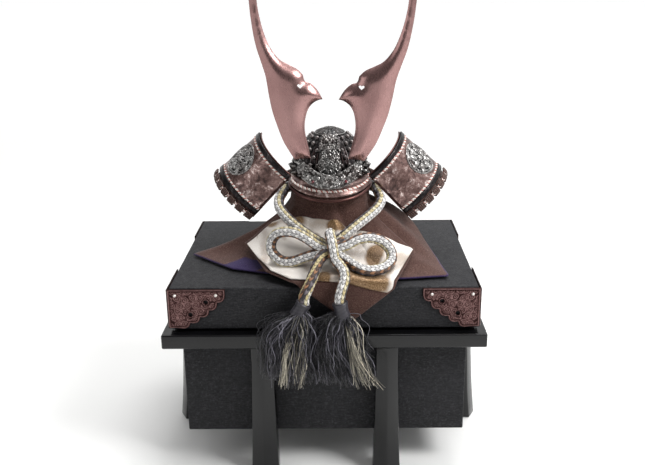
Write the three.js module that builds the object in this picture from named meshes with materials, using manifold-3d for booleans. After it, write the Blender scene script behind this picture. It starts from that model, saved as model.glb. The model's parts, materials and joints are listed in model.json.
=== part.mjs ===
// An ornamental samurai helmet (kabuto) on a cloth-draped post, standing on a six-legged armour chest.
// Millimetres, +Z up. The front looks along -Y. The origin is on the floor under the chest's middle.
import * as THREE from "three";
import { mergeVertices } from "three/addons/utils/BufferGeometryUtils.js";
import Module from "manifold-3d";

const wasm = await Module();
wasm.setup();
const object = new THREE.Group();

// ---- driving dimensions ----

const GAP = 0.3; // left between pieces that touch
const LID = { width: 330, depth: 240, height: 47.5, top: 220, board: 8 };
const RIM = { width: 350, depth: 260, height: 16, top: 169.3 };
const BODY = { width: 312, depth: 218, bottom: 42, board: 8 };
const LEG_SPREAD = 68; // from the chest's middle to a front or back leg
const FITTING = { reach: 62, drop: 45, wall: 1.6, relief: 0.9 };
const HELMET_X = 6.5; // the helmet stands a little to the right of the chest's middle
const POST = { radius: 20, shoulder: 349, top: 359 };
const CLOTH = 2; // wall of the draped cloth
const BOWL = { base: 316, height: 50, halfWidth: 42, stretch: 1.1, wall: 2, ribs: 24 };
const CAP = { radius: 16.5, bottom: 361 };
const VISOR = { halfWidth: 46, front: 62, wall: 2, frontZ: 302, endZ: 312.5 };
const HORN = { y: -51, rootZ: 345, thick: 2.6, bevel: 1, lean: 0.03 };
const PANEL = {
  length: 64, radius: 51.6, flare: 7, wall: 1.6, turn: 86, band: 6, innerSlant: 1.6, outerSlant: 7.2,
};
const CREST = { radius: 20.5, along: 0.5, turn: 63, thick: 1.8 };
const LAMES = { count: 4, outer: 118, topZ: 317, slope: 0.55, wall: 1.8, lap: 2.5 };
const CORD = 11.5; // diameter of the braid

const finish = {
  chestCloth: { color: 0x2b2c31, roughness: 0.85, metalness: 0 },
  lacquer: { color: 0x0b0b0c, roughness: 0.2, metalness: 0 },
  fitting: { color: 0x5d4340, roughness: 0.42, metalness: 0.8 },
  wood: { color: 0xb08c5c, roughness: 0.6, metalness: 0 },
  crepe: { color: 0x4e372d, roughness: 0.9, metalness: 0 },
  brocade: { color: 0xcdb79f, roughness: 0.6, metalness: 0 },
  darkMetal: { color: 0x3a3739, roughness: 0.35, metalness: 0.9 },
  silver: { color: 0x8d8b8a, roughness: 0.38, metalness: 0.9 },
  rose: { color: 0xa9807d, roughness: 0.35, metalness: 0.9 },
  leather: { color: 0x7d625d, roughness: 0.5, metalness: 0.2 },
  edging: { color: 0xd9c3bb, roughness: 0.7, metalness: 0 },
  stone: { color: 0x5c1420, roughness: 0.15, metalness: 0 },
  lacing: { color: 0x3d2722, roughness: 0.85, metalness: 0 },
  braid: { color: 0xa9a29a, roughness: 0.7, metalness: 0 },
  silk: { color: 0x1d1b20, roughness: 0.6, metalness: 0 },
};

// ---- general helpers ----

const vec = (x, y, z) => new THREE.Vector3(x, y, z);
const mix = THREE.MathUtils.lerp;
const rad = THREE.MathUtils.degToRad;

function add(name, geometry, look, parent = object) {
  const mesh = new THREE.Mesh(geometry, new THREE.MeshStandardMaterial(look));
  mesh.name = name;
  parent.add(mesh);
  return mesh;
}

function solid(geometry) {
  const bare = geometry.clone();
  bare.deleteAttribute("normal");
  bare.deleteAttribute("uv");
  const merged = mergeVertices(bare, 1e-3);
  const vertProperties = merged.attributes.position.array;
  const triVerts = new Uint32Array(merged.index.array);
  return new wasm.Manifold(new wasm.Mesh({ numProp: 3, vertProperties, triVerts }));
}

function geometryOf(made) {
  const mesh = made.getMesh();
  const geometry = new THREE.BufferGeometry();
  geometry.setAttribute("position", new THREE.BufferAttribute(mesh.vertProperties, 3));
  geometry.setIndex(new THREE.BufferAttribute(mesh.triVerts, 1));
  return geometry;
}

function join(geometries) {
  return geometryOf(geometries.map(solid).reduce((whole, piece) => whole.add(piece)));
}

function cut(geometry, tools) {
  return geometryOf(tools.map(solid).reduce((whole, tool) => whole.subtract(tool), solid(geometry)));
}

function box(width, depth, low, high) {
  return new THREE.BoxGeometry(width, depth, high - low).translate(0, 0, (low + high) / 2);
}

// Faces between rows of points. The rows run round the piece, and a row of one place closes it to a point.
function facesOf(rows, closeAround) {
  const points = rows.flat();
  const across = rows[0].length;
  const index = [];
  const face = (a, b, c) => {
    const apart = (i, j) => points[i].distanceTo(points[j]) > 1e-3;
    if (apart(a, b) && apart(b, c) && apart(c, a)) index.push(a, b, c);
  };
  for (let row = 0; row < rows.length - 1; row++) {
    const last = closeAround ? across : across - 1;
    for (let i = 0; i < last; i++) {
      const a = row * across + i;
      const b = row * across + ((i + 1) % across);
      face(a, b, b + across);
      face(a, b + across, a + across);
    }
  }
  const geometry = new THREE.BufferGeometry().setFromPoints(points);
  return geometry.setIndex(index);
}

// A closed body through rings of the same number of points, with a fan over each end.
function loft(rings) {
  const centre = (ring) => ring.reduce((sum, p) => sum.add(p), vec(0, 0, 0)).divideScalar(ring.length);
  const cap = (ring) => ring.map(() => centre(ring));
  return facesOf([cap(rings[0]), ...rings, cap(rings[rings.length - 1])], true);
}

// A wall over a surface given as rows of points: the inner skin lies one wall behind the outer one.
// Rows run from the top down and columns to the right, as the outside is seen.
function wallOver(rows, wall, closeAround = false) {
  const across = rows[0].length;
  const at = (row, i) => {
    const column = closeAround ? (i + across) % across : Math.min(Math.max(i, 0), across - 1);
    return rows[Math.min(Math.max(row, 0), rows.length - 1)][column];
  };
  const inner = rows.map((points, row) =>
    points.map((p, i) => {
      const right = at(row, i + 1).clone().sub(at(row, i - 1));
      const down = at(row + 1, i).clone().sub(at(row - 1, i));
      const normal = down.cross(right);
      const flat = normal.length() < 1e-6;
      return p.clone().addScaledVector(flat ? vec(0, 0, 1) : normal.normalize(), -wall);
    }),
  );
  if (closeAround) return flip(merge([facesOf([...rows, ...inner.reverse(), rows[0]], true)]));
  const loops = rows.map((points, row) => [...points, ...inner[row].reverse()]);
  const lid = (row, back) => {
    const points = [...rows[row], ...inner[row]];
    const index = [];
    for (let i = 0; i < across - 1; i++) {
      const [a, b, c, d] = [i, i + 1, 2 * across - 2 - i, 2 * across - 1 - i];
      index.push(...(back ? [a, c, b, a, d, c] : [a, b, c, a, c, d]));
    }
    return new THREE.BufferGeometry().setFromPoints(points).setIndex(index);
  };
  return flip(merge([facesOf(loops, true), lid(0, true), lid(rows.length - 1, false)]));
}

// One geometry from several that share edges, kept as bare positions.
function merge(geometries) {
  const places = [];
  for (const geometry of geometries) {
    const bare = geometry.index ? geometry.toNonIndexed() : geometry;
    places.push(...bare.getAttribute("position").array);
  }
  const whole = new THREE.BufferGeometry();
  whole.setAttribute("position", new THREE.Float32BufferAttribute(places, 3));
  return mergeVertices(whole, 1e-3);
}

// A tube of round section along a smooth curve.
function tube(points, diameter, sides, steps) {
  const path = new THREE.CatmullRomCurve3(points.map((p) => vec(...p)), false, "centripetal");
  const section = new THREE.Shape();
  for (let i = 0; i < sides; i++) {
    const turn = (2 * Math.PI * i) / sides;
    const [x, y] = [(Math.cos(turn) * diameter) / 2, (Math.sin(turn) * diameter) / 2];
    if (i) section.lineTo(x, y);
    else section.moveTo(x, y);
  }
  section.closePath();
  return new THREE.ExtrudeGeometry(section, { steps, extrudePath: path });
}

function lathe(profile, segments) {
  const points = profile.map(([r, z]) => new THREE.Vector2(r, z));
  return new THREE.LatheGeometry(points, segments).rotateX(Math.PI / 2);
}

function table(rows, key, value, column) {
  const next = rows.findIndex((row) => row[key] >= value);
  if (next === -1) return rows[rows.length - 1][column];
  if (next === 0) return rows[0][column];
  const [a, b] = [rows[next - 1], rows[next]];
  return mix(a[column], b[column], (value - a[key]) / (b[key] - a[key]));
}

// ---- chest: body, rim band, lid, six legs and four corner fittings ----

function chestBody() {
  const { width, depth, bottom, board } = BODY;
  const top = LID.top - LID.board - GAP;
  const inside = box(width - 2 * board, depth - 2 * board, bottom + board, top + 1);
  return cut(box(width, depth, bottom, top), [inside]);
}

function chestRim() {
  const hole = box(BODY.width + 2 * GAP, BODY.depth + 2 * GAP, RIM.top - RIM.height - 1, RIM.top + 1);
  return cut(box(RIM.width, RIM.depth, RIM.top - RIM.height, RIM.top), [hole]);
}

function chestLid() {
  const low = LID.top - LID.height;
  const wide = BODY.width + 2 * GAP;
  const deep = BODY.depth + 2 * GAP;
  return cut(box(LID.width, LID.depth, low, LID.top), [box(wide, deep, low - 1, LID.top - LID.board)]);
}

// A leg from its sole up: half its width, how far its back stands off the chest, and how far the
// sides and the middle ridge of its front reach out from the chest.
const LEG = [
  { z: 0, half: 15.5, back: 9, edge: 23, ridge: 31 },
  { z: 42, half: 14, back: 2, edge: 19, ridge: 27 },
  { z: 90, half: 13, back: GAP, edge: 17, ridge: 24 },
  { z: 130, half: 12, back: GAP, edge: 15, ridge: 20 },
  { z: 153, half: 12, back: GAP, edge: 18.4, ridge: 19 },
];

function leg() {
  const rings = LEG.map(({ z, half, back, edge, ridge }) => [
    vec(half, -back, z),
    vec(-half, -back, z),
    vec(-half, -edge, z),
    vec(0, -ridge, z),
    vec(half, -edge, z),
  ]);
  return loft(rings);
}

function chestLegs() {
  const front = BODY.depth / 2;
  const side = BODY.width / 2;
  const places = [
    { name: "leg_front_left", x: -LEG_SPREAD, y: -front, turn: 0 },
    { name: "leg_front_right", x: LEG_SPREAD, y: -front, turn: 0 },
    { name: "leg_right", x: side, y: 0, turn: 90 },
    { name: "leg_back_right", x: LEG_SPREAD, y: front, turn: 180 },
    { name: "leg_back_left", x: -LEG_SPREAD, y: front, turn: 180 },
    { name: "leg_left", x: -side, y: 0, turn: 270 },
  ];
  for (const { name, x, y, turn } of places) {
    const mesh = add(name, leg(), finish.lacquer);
    mesh.rotation.z = rad(turn);
    mesh.position.set(x, y, 0);
  }
}

// One arm of a corner fitting, flat in XY with its corner at the origin, reaching along +X and down -Y.
function fittingOutline() {
  const scallops = 3;
  const bulge = 6;
  const [startX, startY, endX, endY] = [FITTING.reach, -5, 12, -FITTING.drop];
  const shape = new THREE.Shape();
  shape.moveTo(0, 0);
  shape.lineTo(0, endY);
  shape.lineTo(endX, endY);
  for (let i = 1; i <= scallops; i++) {
    const [x, y] = [mix(endX, startX, i / scallops), mix(endY, startY, i / scallops)];
    const middle = (i - 0.5) / scallops;
    shape.quadraticCurveTo(mix(endX, startX, middle) + bulge, mix(endY, startY, middle) - bulge, x, y);
  }
  shape.lineTo(FITTING.reach, 0);
  return shape;
}

function fittingArm() {
  const holes = [[41, -15], [24, -29]].map(([x, y]) =>
    new THREE.CylinderGeometry(2, 2, 9, 4).rotateX(Math.PI / 2).translate(x, y, 0),
  );
  const flat = { depth: FITTING.wall, bevelEnabled: false, curveSegments: 2 };
  const plate = new THREE.ExtrudeGeometry(fittingOutline(), flat);
  const leaves = [
    { x: 14, y: -12, long: 9, turn: 40 },
    { x: 32, y: -9, long: 8, turn: -15 },
    { x: 11, y: -31, long: 8, turn: -65 },
  ].map(({ x, y, long, turn }) =>
    new THREE.CylinderGeometry(0.45, 1, 1, 5)
      .rotateX(Math.PI / 2)
      .scale(long, 3.4, 2 * (FITTING.relief + FITTING.wall))
      .rotateZ(rad(turn))
      .translate(x, y, 0.2),
  );
  return cut(join([plate, ...leaves]), [...holes, box(200, 200, -20, 0)]);
}

function chestFittings() {
  const corners = [
    { name: "corner_fitting_front_left", x: -1, y: -1 },
    { name: "corner_fitting_front_right", x: 1, y: -1 },
    { name: "corner_fitting_back_left", x: -1, y: 1 },
    { name: "corner_fitting_back_right", x: 1, y: 1 },
  ];
  for (const { name, x, y } of corners) {
    const { wall } = FITTING;
    const face = fittingArm().translate(-wall - GAP, 0, 0).rotateX(Math.PI / 2).translate(0, -GAP, 0);
    const side = flip(fittingArm().scale(-1, 1, 1)).translate(wall + GAP, 0, 0);
    side.rotateX(Math.PI / 2).rotateZ(-Math.PI / 2);
    side.translate(-GAP, 0, 0);
    const corner = join([face, side]);
    corner.scale(-x, -y, 1);
    if (x * y < 0) flip(corner);
    const mesh = add(name, corner, finish.fitting);
    mesh.position.set((x * LID.width) / 2, (y * LID.depth) / 2, LID.top - 0.5);
  }
}

// Turns every face of a mirrored geometry the right way out again.
function flip(geometry) {
  const index = geometry.index.array;
  for (let i = 0; i < index.length; i += 3) [index[i + 1], index[i + 2]] = [index[i + 2], index[i + 1]];
  return geometry;
}

// ---- post and cloth ----

function post() {
  const profile = [[0, LID.top + GAP], [POST.radius, LID.top + GAP], [POST.radius, POST.shoulder]];
  for (let i = 1; i <= 4; i++) {
    const turn = (Math.PI / 2) * (i / 4);
    profile.push([POST.radius * Math.cos(turn), mix(POST.shoulder, POST.top, Math.sin(turn))]);
  }
  profile[profile.length - 1][0] = 0;
  return lathe(profile, 16).translate(HELMET_X, 0, 0);
}

// The cloth's outer skin on the post, from the top down.
const NECK = [
  { r: 0, z: POST.top + 3 },
  { r: 14, z: POST.top + 0.5 },
  { r: 24.5, z: POST.shoulder + 3 },
  { r: 26, z: 332 },
  { r: 34, z: 312 },
  { r: 42, z: 299 },
  { r: 45, z: 284 },
];

// The lower cloth's hem, anticlockwise from the right: where each corner or fold lies, how far it is
// lifted off the lid, and how straight its crest runs to the post (1 is straight, 0 falls at once).
const WINGS = [
  { x: 124, y: -22, lift: 3, crest: 1.1, steps: 2 },
  { x: 117, y: 26, lift: 5, crest: 1.5, steps: 2 },
  { x: 94, y: 72, lift: 1, crest: 0.7, steps: 2 },
  { x: 38, y: 90, lift: 0, crest: 0.25, steps: 1 },
  { x: -32, y: 84, lift: 0, crest: 0.35, steps: 2 },
  { x: -84, y: 48, lift: 0, crest: 0.6, steps: 1 },
  { x: -112, y: 14, lift: 0, crest: 0.55, steps: 2 },
  { x: -156, y: -20, lift: 0, crest: 0.62, steps: 2 },
  { x: -103, y: -71, lift: 0, crest: 0.2, steps: 2 },
  { x: -54, y: -88, lift: 0, crest: 0.2, steps: 2 },
  { x: 60, y: -104, lift: 0, crest: 0.2, steps: 1 },
  { x: 85, y: -104, lift: 0, crest: 0.2, steps: 2 },
  { x: 136, y: -97, lift: 0, crest: 0.35, steps: 3 },
];

// The front flap's hem, from its left corner round its tip to its right corner, laid flat past the
// lid's edge. It hangs over the lid's front.
const FLAP = [
  { x: -92, y: -34, lift: 16, crest: 0.9, steps: 2 },
  { x: -63, y: -98, lift: 5, crest: 0.5, steps: 2 },
  { x: -36, y: -119, lift: 1, crest: 0.35, steps: 4 },
  { x: 28, y: -168, lift: 1, crest: 0.3, steps: 4 },
  { x: 75, y: -129, lift: 1, crest: 0.15, steps: 3 },
  { x: 101, y: -58, lift: 14, crest: 0.8, steps: 0 },
];

// The front edge of the lid, where the cloth turns down.
const EDGE_Y = -LID.depth / 2;

function drape(neck, hem, closeAround, clear, rows) {
  const columns = [];
  hem.forEach((from, i) => {
    const to = hem[(i + 1) % hem.length];
    for (let step = 0; step < Math.max(from.steps, 1); step++) {
      const share = from.steps ? step / from.steps : 0;
      const between = (name) => mix(from[name], to[name], share);
      const place = vec(between("x"), between("y"), between("lift"));
      columns.push(drapeColumn(neck, place, between("crest"), clear, rows));
    }
  });
  return columns[0].map((_, row) => columns.map((column) => column[row]));
}

// One line of the cloth from the post to the hem, whose z is its lift off the lid. A line that runs
// past the lid's edge has one row on the edge and its last two rows below it.
function drapeColumn(neck, hemPoint, crest, clear, rows) {
  const axis = vec(HELMET_X, 0, 0);
  const out = hemPoint.clone().sub(axis).setZ(0);
  const reach = out.length();
  out.normalize();
  const foot = LID.top + CLOTH + clear + hemPoint.z;
  const last = neck[neck.length - 1];
  const points = neck.map(({ r, z }) => axis.clone().addScaledVector(out, r).setZ(z));
  const middleR = mix(last.r + 8, (last.r + reach) / 2, crest);
  const middleZ = mix(foot + 2, (last.z + foot) / 2, crest);
  const bend = (t, a, b, c) => (1 - t) * (1 - t) * a + 2 * t * (1 - t) * b + t * t * c;
  const at = (t) => {
    const place = axis.clone().addScaledVector(out, bend(t, last.r, middleR, reach));
    return place.setZ(bend(t, last.z, middleZ, foot));
  };
  const edge = EDGE_Y - CLOTH - clear;
  let cross = 1;
  while (cross > 0 && at(cross).y < edge) cross -= 0.005;
  for (let i = 1; i <= rows; i++) {
    if (cross === 1) points.push(at(i / rows));
    else if (i <= rows - 2) points.push(at((cross * i) / (rows - 2)));
    else {
      const hem = at(1);
      const share = (i - rows + 2) / 2;
      const onEdge = at(cross);
      const down = share * (edge - hem.y);
      points.push(vec(mix(onEdge.x, hem.x, share), edge, onEdge.z - down));
    }
  }
  return points;
}

function clothWings() {
  const rows = drape(NECK, WINGS, true, GAP, 5);
  return wallOver(rows, CLOTH, true);
}

function clothFlap() {
  const neck = [{ r: 48, z: 299 }, { r: 48.5, z: 284 }];
  const rows = drape(neck, FLAP, false, CLOTH + 2 * GAP, 7);
  return wallOver(rows, CLOTH);
}

// ---- bowl ----

// The bowl's radius at a height above its base, and the height at a radius.
const bowlRadius = (up) => BOWL.halfWidth * Math.sqrt(Math.max(0, 1 - (up / BOWL.height) ** 2));

function bowl() {
  const outer = [];
  const inner = [];
  const steps = 5;
  for (let i = 0; i <= steps; i++) {
    const turn = (Math.PI / 2) * (i / steps);
    const [c, s] = [Math.cos(turn), Math.sin(turn)];
    const crown = i === steps;
    outer.push([crown ? 0 : BOWL.halfWidth * c, BOWL.base + BOWL.height * s]);
    inner.unshift([crown ? 0 : (BOWL.halfWidth - BOWL.wall) * c, BOWL.base + (BOWL.height - BOWL.wall) * s]);
  }
  const shell = lathe([...outer, ...inner, outer[0]], BOWL.ribs).scale(1, BOWL.stretch, 1);
  const studs = [];
  const rows = [
    { up: 13, count: 8 },
    { up: 25, count: 8 },
    { up: 36, count: 8 },
  ];
  rows.forEach(({ up, count }, row) => {
    for (let i = 0; i < count; i++) {
      const turn = (2 * Math.PI * (i + 0.5 * (row % 2) + 0.25)) / count;
      const r = bowlRadius(up);
      if (Math.sin(turn) < -0.9) continue; // the front plate covers these
      const lean = Math.atan2(BOWL.halfWidth ** 2 * up, BOWL.height ** 2 * r);
      const aim = new THREE.Quaternion().setFromUnitVectors(
        vec(0, 0, 1),
        vec(Math.cos(turn) * Math.cos(lean), Math.sin(turn) * Math.cos(lean), Math.sin(lean)),
      );
      const upright = new THREE.CylinderGeometry(1.2, 2.6, 3.4, 4);
      upright.rotateX(Math.PI / 2).translate(0, 0, 0.9);
      upright.applyQuaternion(aim);
      upright.translate(r * Math.cos(turn), r * Math.sin(turn) * BOWL.stretch, BOWL.base + up);
      studs.push(upright);
    }
  });
  return join([shell, ...studs]).translate(HELMET_X, 0, 0);
}

// A place on the bowl's outside: the height above its base, a turn from the front to the right, and
// how far it stands off the surface.
function onBowl(up, turn, off) {
  const r = bowlRadius(up);
  const out = vec(Math.sin(turn), -Math.cos(turn) * BOWL.stretch, 0).multiplyScalar(r);
  const slope = (BOWL.halfWidth / BOWL.height) ** 2 * up;
  const normal = vec(Math.sin(turn) * r, -Math.cos(turn) * r, slope).normalize();
  return out.addScaledVector(normal, off).add(vec(HELMET_X, 0, BOWL.base + up));
}

function crownCap() {
  const { radius, bottom } = CAP;
  const profile = [
    [0, bottom + 5.7],
    [radius * 0.5, bottom + 4.8],
    [radius - 3, bottom + 3.2],
    [radius, bottom + 1.8],
    [radius + 0.8, bottom + 2.8],
    [radius - 1.2, bottom + 4.2],
    [radius * 0.7, bottom + 5.8],
    [radius * 0.4, bottom + 7],
    [0, bottom + 7.4],
  ];
  return lathe(profile, 12).scale(1, BOWL.stretch, 1).translate(HELMET_X, 0, 0);
}

// The front plate runs down the bowl from under the cap, narrow at the top and round at its foot.
function frontPlate() {
  const rows = [
    { up: 42.5, half: 8 },
    { up: 38, half: 9.5 },
    { up: 31, half: 10.5 },
    { up: 22, half: 11 },
    { up: 14, half: 11 },
    { up: 8, half: 10 },
  ];
  const columns = 6;
  const skin = rows.map(({ up, half }, row) =>
    Array.from({ length: columns + 1 }, (_, i) => {
      const side = (2 * i) / columns - 1;
      const raised = 3.9 + 1.2 * (1 - side * side) + (row % 2 ? 0.5 : 0);
      return onBowl(up, (side * half) / bowlRadius(up), raised);
    }),
  );
  const boss = (up, side, size) => {
    const p = onBowl(up, side / bowlRadius(up), 4.6);
    return new THREE.SphereGeometry(1, 6, 3).scale(size, 1.7, size).translate(p.x, p.y, p.z);
  };
  const bosses = [boss(33, 0, 4.5), boss(24, -5, 3), boss(24, 5, 3), boss(15, 0, 4)];
  return join([wallOver(skin, 2.2), ...bosses]);
}

// ---- visor and horn base ----

// A point across the visor: side from -1 (left end) to 1, share from 0 (at the bowl) to 1 (outer edge).
function onVisor(side, share, lift) {
  const turn = (side * Math.PI) / 2;
  const x = Math.sin(turn);
  const y = -Math.cos(turn);
  const close = BOWL.halfWidth + 0.8;
  const inner = vec(close * x, close * BOWL.stretch * y - 0.5, BOWL.base - 0.5 + 1.5 * y);
  const outer = vec(VISOR.halfWidth * x, -14 + (VISOR.front - 14) * y, mix(VISOR.endZ, VISOR.frontZ, -y));
  const arch = 2.5 * Math.sin(Math.PI * share);
  return inner.lerp(outer, share).add(vec(HELMET_X, 0, lift + arch));
}

function visorSheet(from, to, wall, lift, columns, rows) {
  const skin = [];
  for (let row = 0; row <= rows; row++) {
    const share = mix(from, to, row / rows);
    const side = (i) => mix(-0.92, 0.92, i / columns);
    skin.push(Array.from({ length: columns + 1 }, (_, i) => onVisor(side(i), share, lift)));
  }
  return wallOver(skin, wall);
}

function visorEdging() {
  const points = [];
  const steps = 20;
  for (let i = 0; i <= steps; i++) points.push(onVisor(mix(-0.88, 0.88, i / steps), 0.84, 2.3).toArray());
  return tube(points, 2.4, 5, 14);
}

// The metal rim wraps the visor's outer edge.
function visorRim() {
  const points = [];
  const steps = 20;
  for (let i = 0; i <= steps; i++) points.push(onVisor(mix(-0.94, 0.94, i / steps), 1.14, -1).toArray());
  return tube(points, 3.6, 6, 16);
}

// The horn base is a crescent plate that stands on the visor round the bowl's front.
const BASE = [
  { side: -1, low: 24, high: 35 },
  { side: -0.85, low: 16, high: 33.5 },
  { side: -0.6, low: 10, high: 28 },
  { side: -0.35, low: 7, high: 22.5 },
  { side: 0, low: 5.8, high: 19.5 },
  { side: 0.35, low: 7, high: 22.5 },
  { side: 0.6, low: 10, high: 28 },
  { side: 0.85, low: 16, high: 33.5 },
  { side: 1, low: 24, high: 35 },
];
const BASE_SPREAD = 36; // half its width
const BASE_Z = 308; // where its heights are counted from

function onBase(side, up, off) {
  const x = side * BASE_SPREAD;
  const y = -60.5 + 13 * side * side + (up - 10) * 0.18;
  return vec(HELMET_X + x, y - off, BASE_Z + up);
}

function hornBase() {
  const rowCount = 2;
  const skin = [];
  for (let row = 0; row <= rowCount; row++) {
    const off = row === 0 ? 0 : 1.2;
    skin.push(BASE.map(({ side, low, high }) => onBase(side, mix(high, low, row / rowCount), off)));
  }
  const plate = wallOver(skin, 3);
  const rim = tube(BASE.map(({ side, low }) => onBase(side, low, 1).toArray()), 3.2, 5, 14);
  const bosses = [];
  for (const side of [-0.8, -0.42, 0, 0.42, 0.8]) {
    const low = table(BASE, "side", side, "low");
    const high = table(BASE, "side", side, "high");
    const p = onBase(side, mix(low, high, 0.55), 1.2);
    bosses.push(new THREE.SphereGeometry(1, 6, 3).scale(4.4, 2.6, 4.4).translate(p.x, p.y, p.z));
  }
  const leaf = (side, up, turn) => {
    const p = onBase(side, up, -1);
    return new THREE.SphereGeometry(1, 5, 3).scale(3, 2, 7.5).rotateY(turn).translate(p.x, p.y, p.z);
  };
  for (const way of [-1, 1]) bosses.push(leaf(way, 33, way * 0.9), leaf(way * 1.04, 27, way * 1.5));
  return join([plate, rim, ...bosses]);
}

function baseStones() {
  for (const [name, side] of [["base_stone_left", -0.5], ["base_stone_right", 0.5]]) {
    const p = onBase(side, 12.5, 5);
    add(name, new THREE.SphereGeometry(2.1, 6, 4).translate(p.x, p.y, p.z), finish.stone);
  }
}

// ---- horns ----

// The right horn's outline from the root up its outer edge to the tip and down its inner edge:
// x from the helmet's middle, z from the root.
const HORN_OUTER = [
  [38, -3], [44, 6], [50.5, 17], [56.5, 32], [62, 48], [66, 66],
  [69.5, 86], [73.5, 99], [80, 119], [84.8, 146], [87, 170], [88, 200],
];
const HORN_TIP = [84.5, 236];
const HORN_INNER = [
  [81.5, 205], [79, 170], [76.8, 153], [72, 134], [65, 117], [55, 104.5], [46, 99.5], [36, 94.6], [30, 89],
];
const HORN_BEAK = [[27.5, 82], [22.5, 80.5], [15, 74], [8.5, 63.5]];
const HORN_BELOW = [
  [13.5, 62.3], [20, 58], [24.3, 51.5], [26.8, 42], [27.4, 32], [25.8, 21.5], [23, 10.5], [20.5, -1],
];
const HEART = [[33.2, 75.4], [30.7, 78], [31.7, 79.8], [34.7, 79.8], [35.7, 78]];

function hornShape() {
  const along = (list) => list.map(([x, z]) => new THREE.Vector2(x, z));
  const shape = new THREE.Shape();
  shape.moveTo(...HORN_OUTER[0]);
  shape.splineThru(along(HORN_OUTER.slice(1)));
  shape.lineTo(...HORN_TIP);
  shape.splineThru(along(HORN_INNER));
  shape.splineThru(along(HORN_BEAK));
  shape.splineThru(along(HORN_BELOW));
  shape.closePath();
  shape.holes.push(new THREE.Path(along(HEART)));
  return shape;
}

function horns() {
  const pair = new THREE.Group();
  pair.position.set(HELMET_X, HORN.y, HORN.rootZ);
  pair.rotation.y = HORN.lean;
  object.add(pair);
  for (const [name, way] of [["horn_right", 1], ["horn_left", -1]]) {
    const horn = new THREE.ExtrudeGeometry(hornShape(), {
      depth: HORN.thick,
      bevelThickness: HORN.bevel,
      bevelSize: HORN.bevel,
      bevelOffset: -HORN.bevel,
      bevelSegments: 1,
      curveSegments: 1,
    });
    const upright = merge([horn.rotateX(Math.PI / 2).translate(0, HORN.thick / 2, 0)]);
    if (way < 0) flip(upright.scale(-1, 1, 1));
    add(name, upright, finish.rose, pair);
  }
}

// ---- turn-backs: the curled ends of the neck guard ----

// A place on the right turn-back: how far along from its inner end, the turn up from its lower edge
// in degrees, and how far it stands off.
const PANEL_CORNER = vec(45.8, -26.5, 320);
const PANEL_ALONG = vec(0.665, 0.13, -0.735).normalize();
const PANEL_BACK = vec(0.72, 0, 0.68).cross(PANEL_ALONG).normalize();
const PANEL_UP = PANEL_ALONG.clone().cross(PANEL_BACK);

function onPanel(along, turn, off) {
  const radius = PANEL.radius + (PANEL.flare * along) / PANEL.length;
  const reach = radius + off;
  const slant = mix(PANEL.innerSlant, PANEL.outerSlant, along / PANEL.length);
  const a = rad(turn);
  return PANEL_CORNER.clone()
    .addScaledVector(PANEL_ALONG, along + (slant * turn) / PANEL.turn)
    .addScaledVector(PANEL_UP, reach * Math.sin(a))
    .addScaledVector(PANEL_BACK, radius - reach * Math.cos(a));
}

function panelSheet(fromAlong, toAlong, fromTurn, toTurn, off, columns, rows) {
  const skin = [];
  for (let row = 0; row <= rows; row++) {
    const turn = mix(toTurn, fromTurn, row / rows);
    const along = (i) => mix(fromAlong, toAlong, i / columns);
    skin.push(Array.from({ length: columns + 1 }, (_, i) => onPanel(along(i), turn, off)));
  }
  return wallOver(skin, PANEL.wall);
}

// A round openwork crest: a ring, eight petals and a hub with the ground cut through between them.
function crestShape() {
  const shape = new THREE.Shape();
  const sides = 16;
  for (let i = 0; i < sides; i++) {
    const turn = (2 * Math.PI * i) / sides;
    const [x, y] = [CREST.radius * Math.cos(turn), CREST.radius * Math.sin(turn)];
    if (i) shape.lineTo(x, y);
    else shape.moveTo(x, y);
  }
  shape.closePath();
  const petals = 8;
  for (let i = 0; i < petals; i++) {
    const turn = (2 * Math.PI * i) / petals;
    const hole = new THREE.Path();
    const r = CREST.radius * 0.62;
    hole.absarc(r * Math.cos(turn), r * Math.sin(turn), 3.2, 0, 2 * Math.PI, true);
    shape.holes.push(hole);
  }
  return shape;
}

function crest() {
  const flat = { depth: CREST.thick, bevelEnabled: false, curveSegments: 3 };
  const disc = new THREE.ExtrudeGeometry(crestShape(), flat);
  const place = disc.getAttribute("position");
  for (let i = 0; i < place.count; i++) {
    const turn = CREST.turn + THREE.MathUtils.radToDeg(place.getY(i) / PANEL.radius);
    const p = onPanel(CREST.along * PANEL.length + place.getX(i), turn, place.getZ(i) + 1);
    place.setXYZ(i, p.x, p.y, p.z);
  }
  return disc;
}

// The laced ends of the lower lames stand as a row of knots past the turn-back's outer end.
function lacing() {
  const knots = 5;
  const pieces = [panelSheet(PANEL.length + 1, PANEL.length + 6, -4, 82, -1, 1, 5)];
  for (let i = 0; i < knots; i++) {
    const p = onPanel(PANEL.length + 6.5, mix(0, 80, i / (knots - 1)), -1);
    const out = onPanel(PANEL.length + 20, mix(0, 80, i / (knots - 1)), -1).sub(p).normalize();
    const knot = new THREE.SphereGeometry(1, 5, 3).scale(4.8, 5.5, 4.8);
    knot.applyQuaternion(new THREE.Quaternion().setFromUnitVectors(vec(0, 1, 0), out)).translate(p.x, p.y, p.z);
    pieces.push(knot);
  }
  return join(pieces);
}

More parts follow.
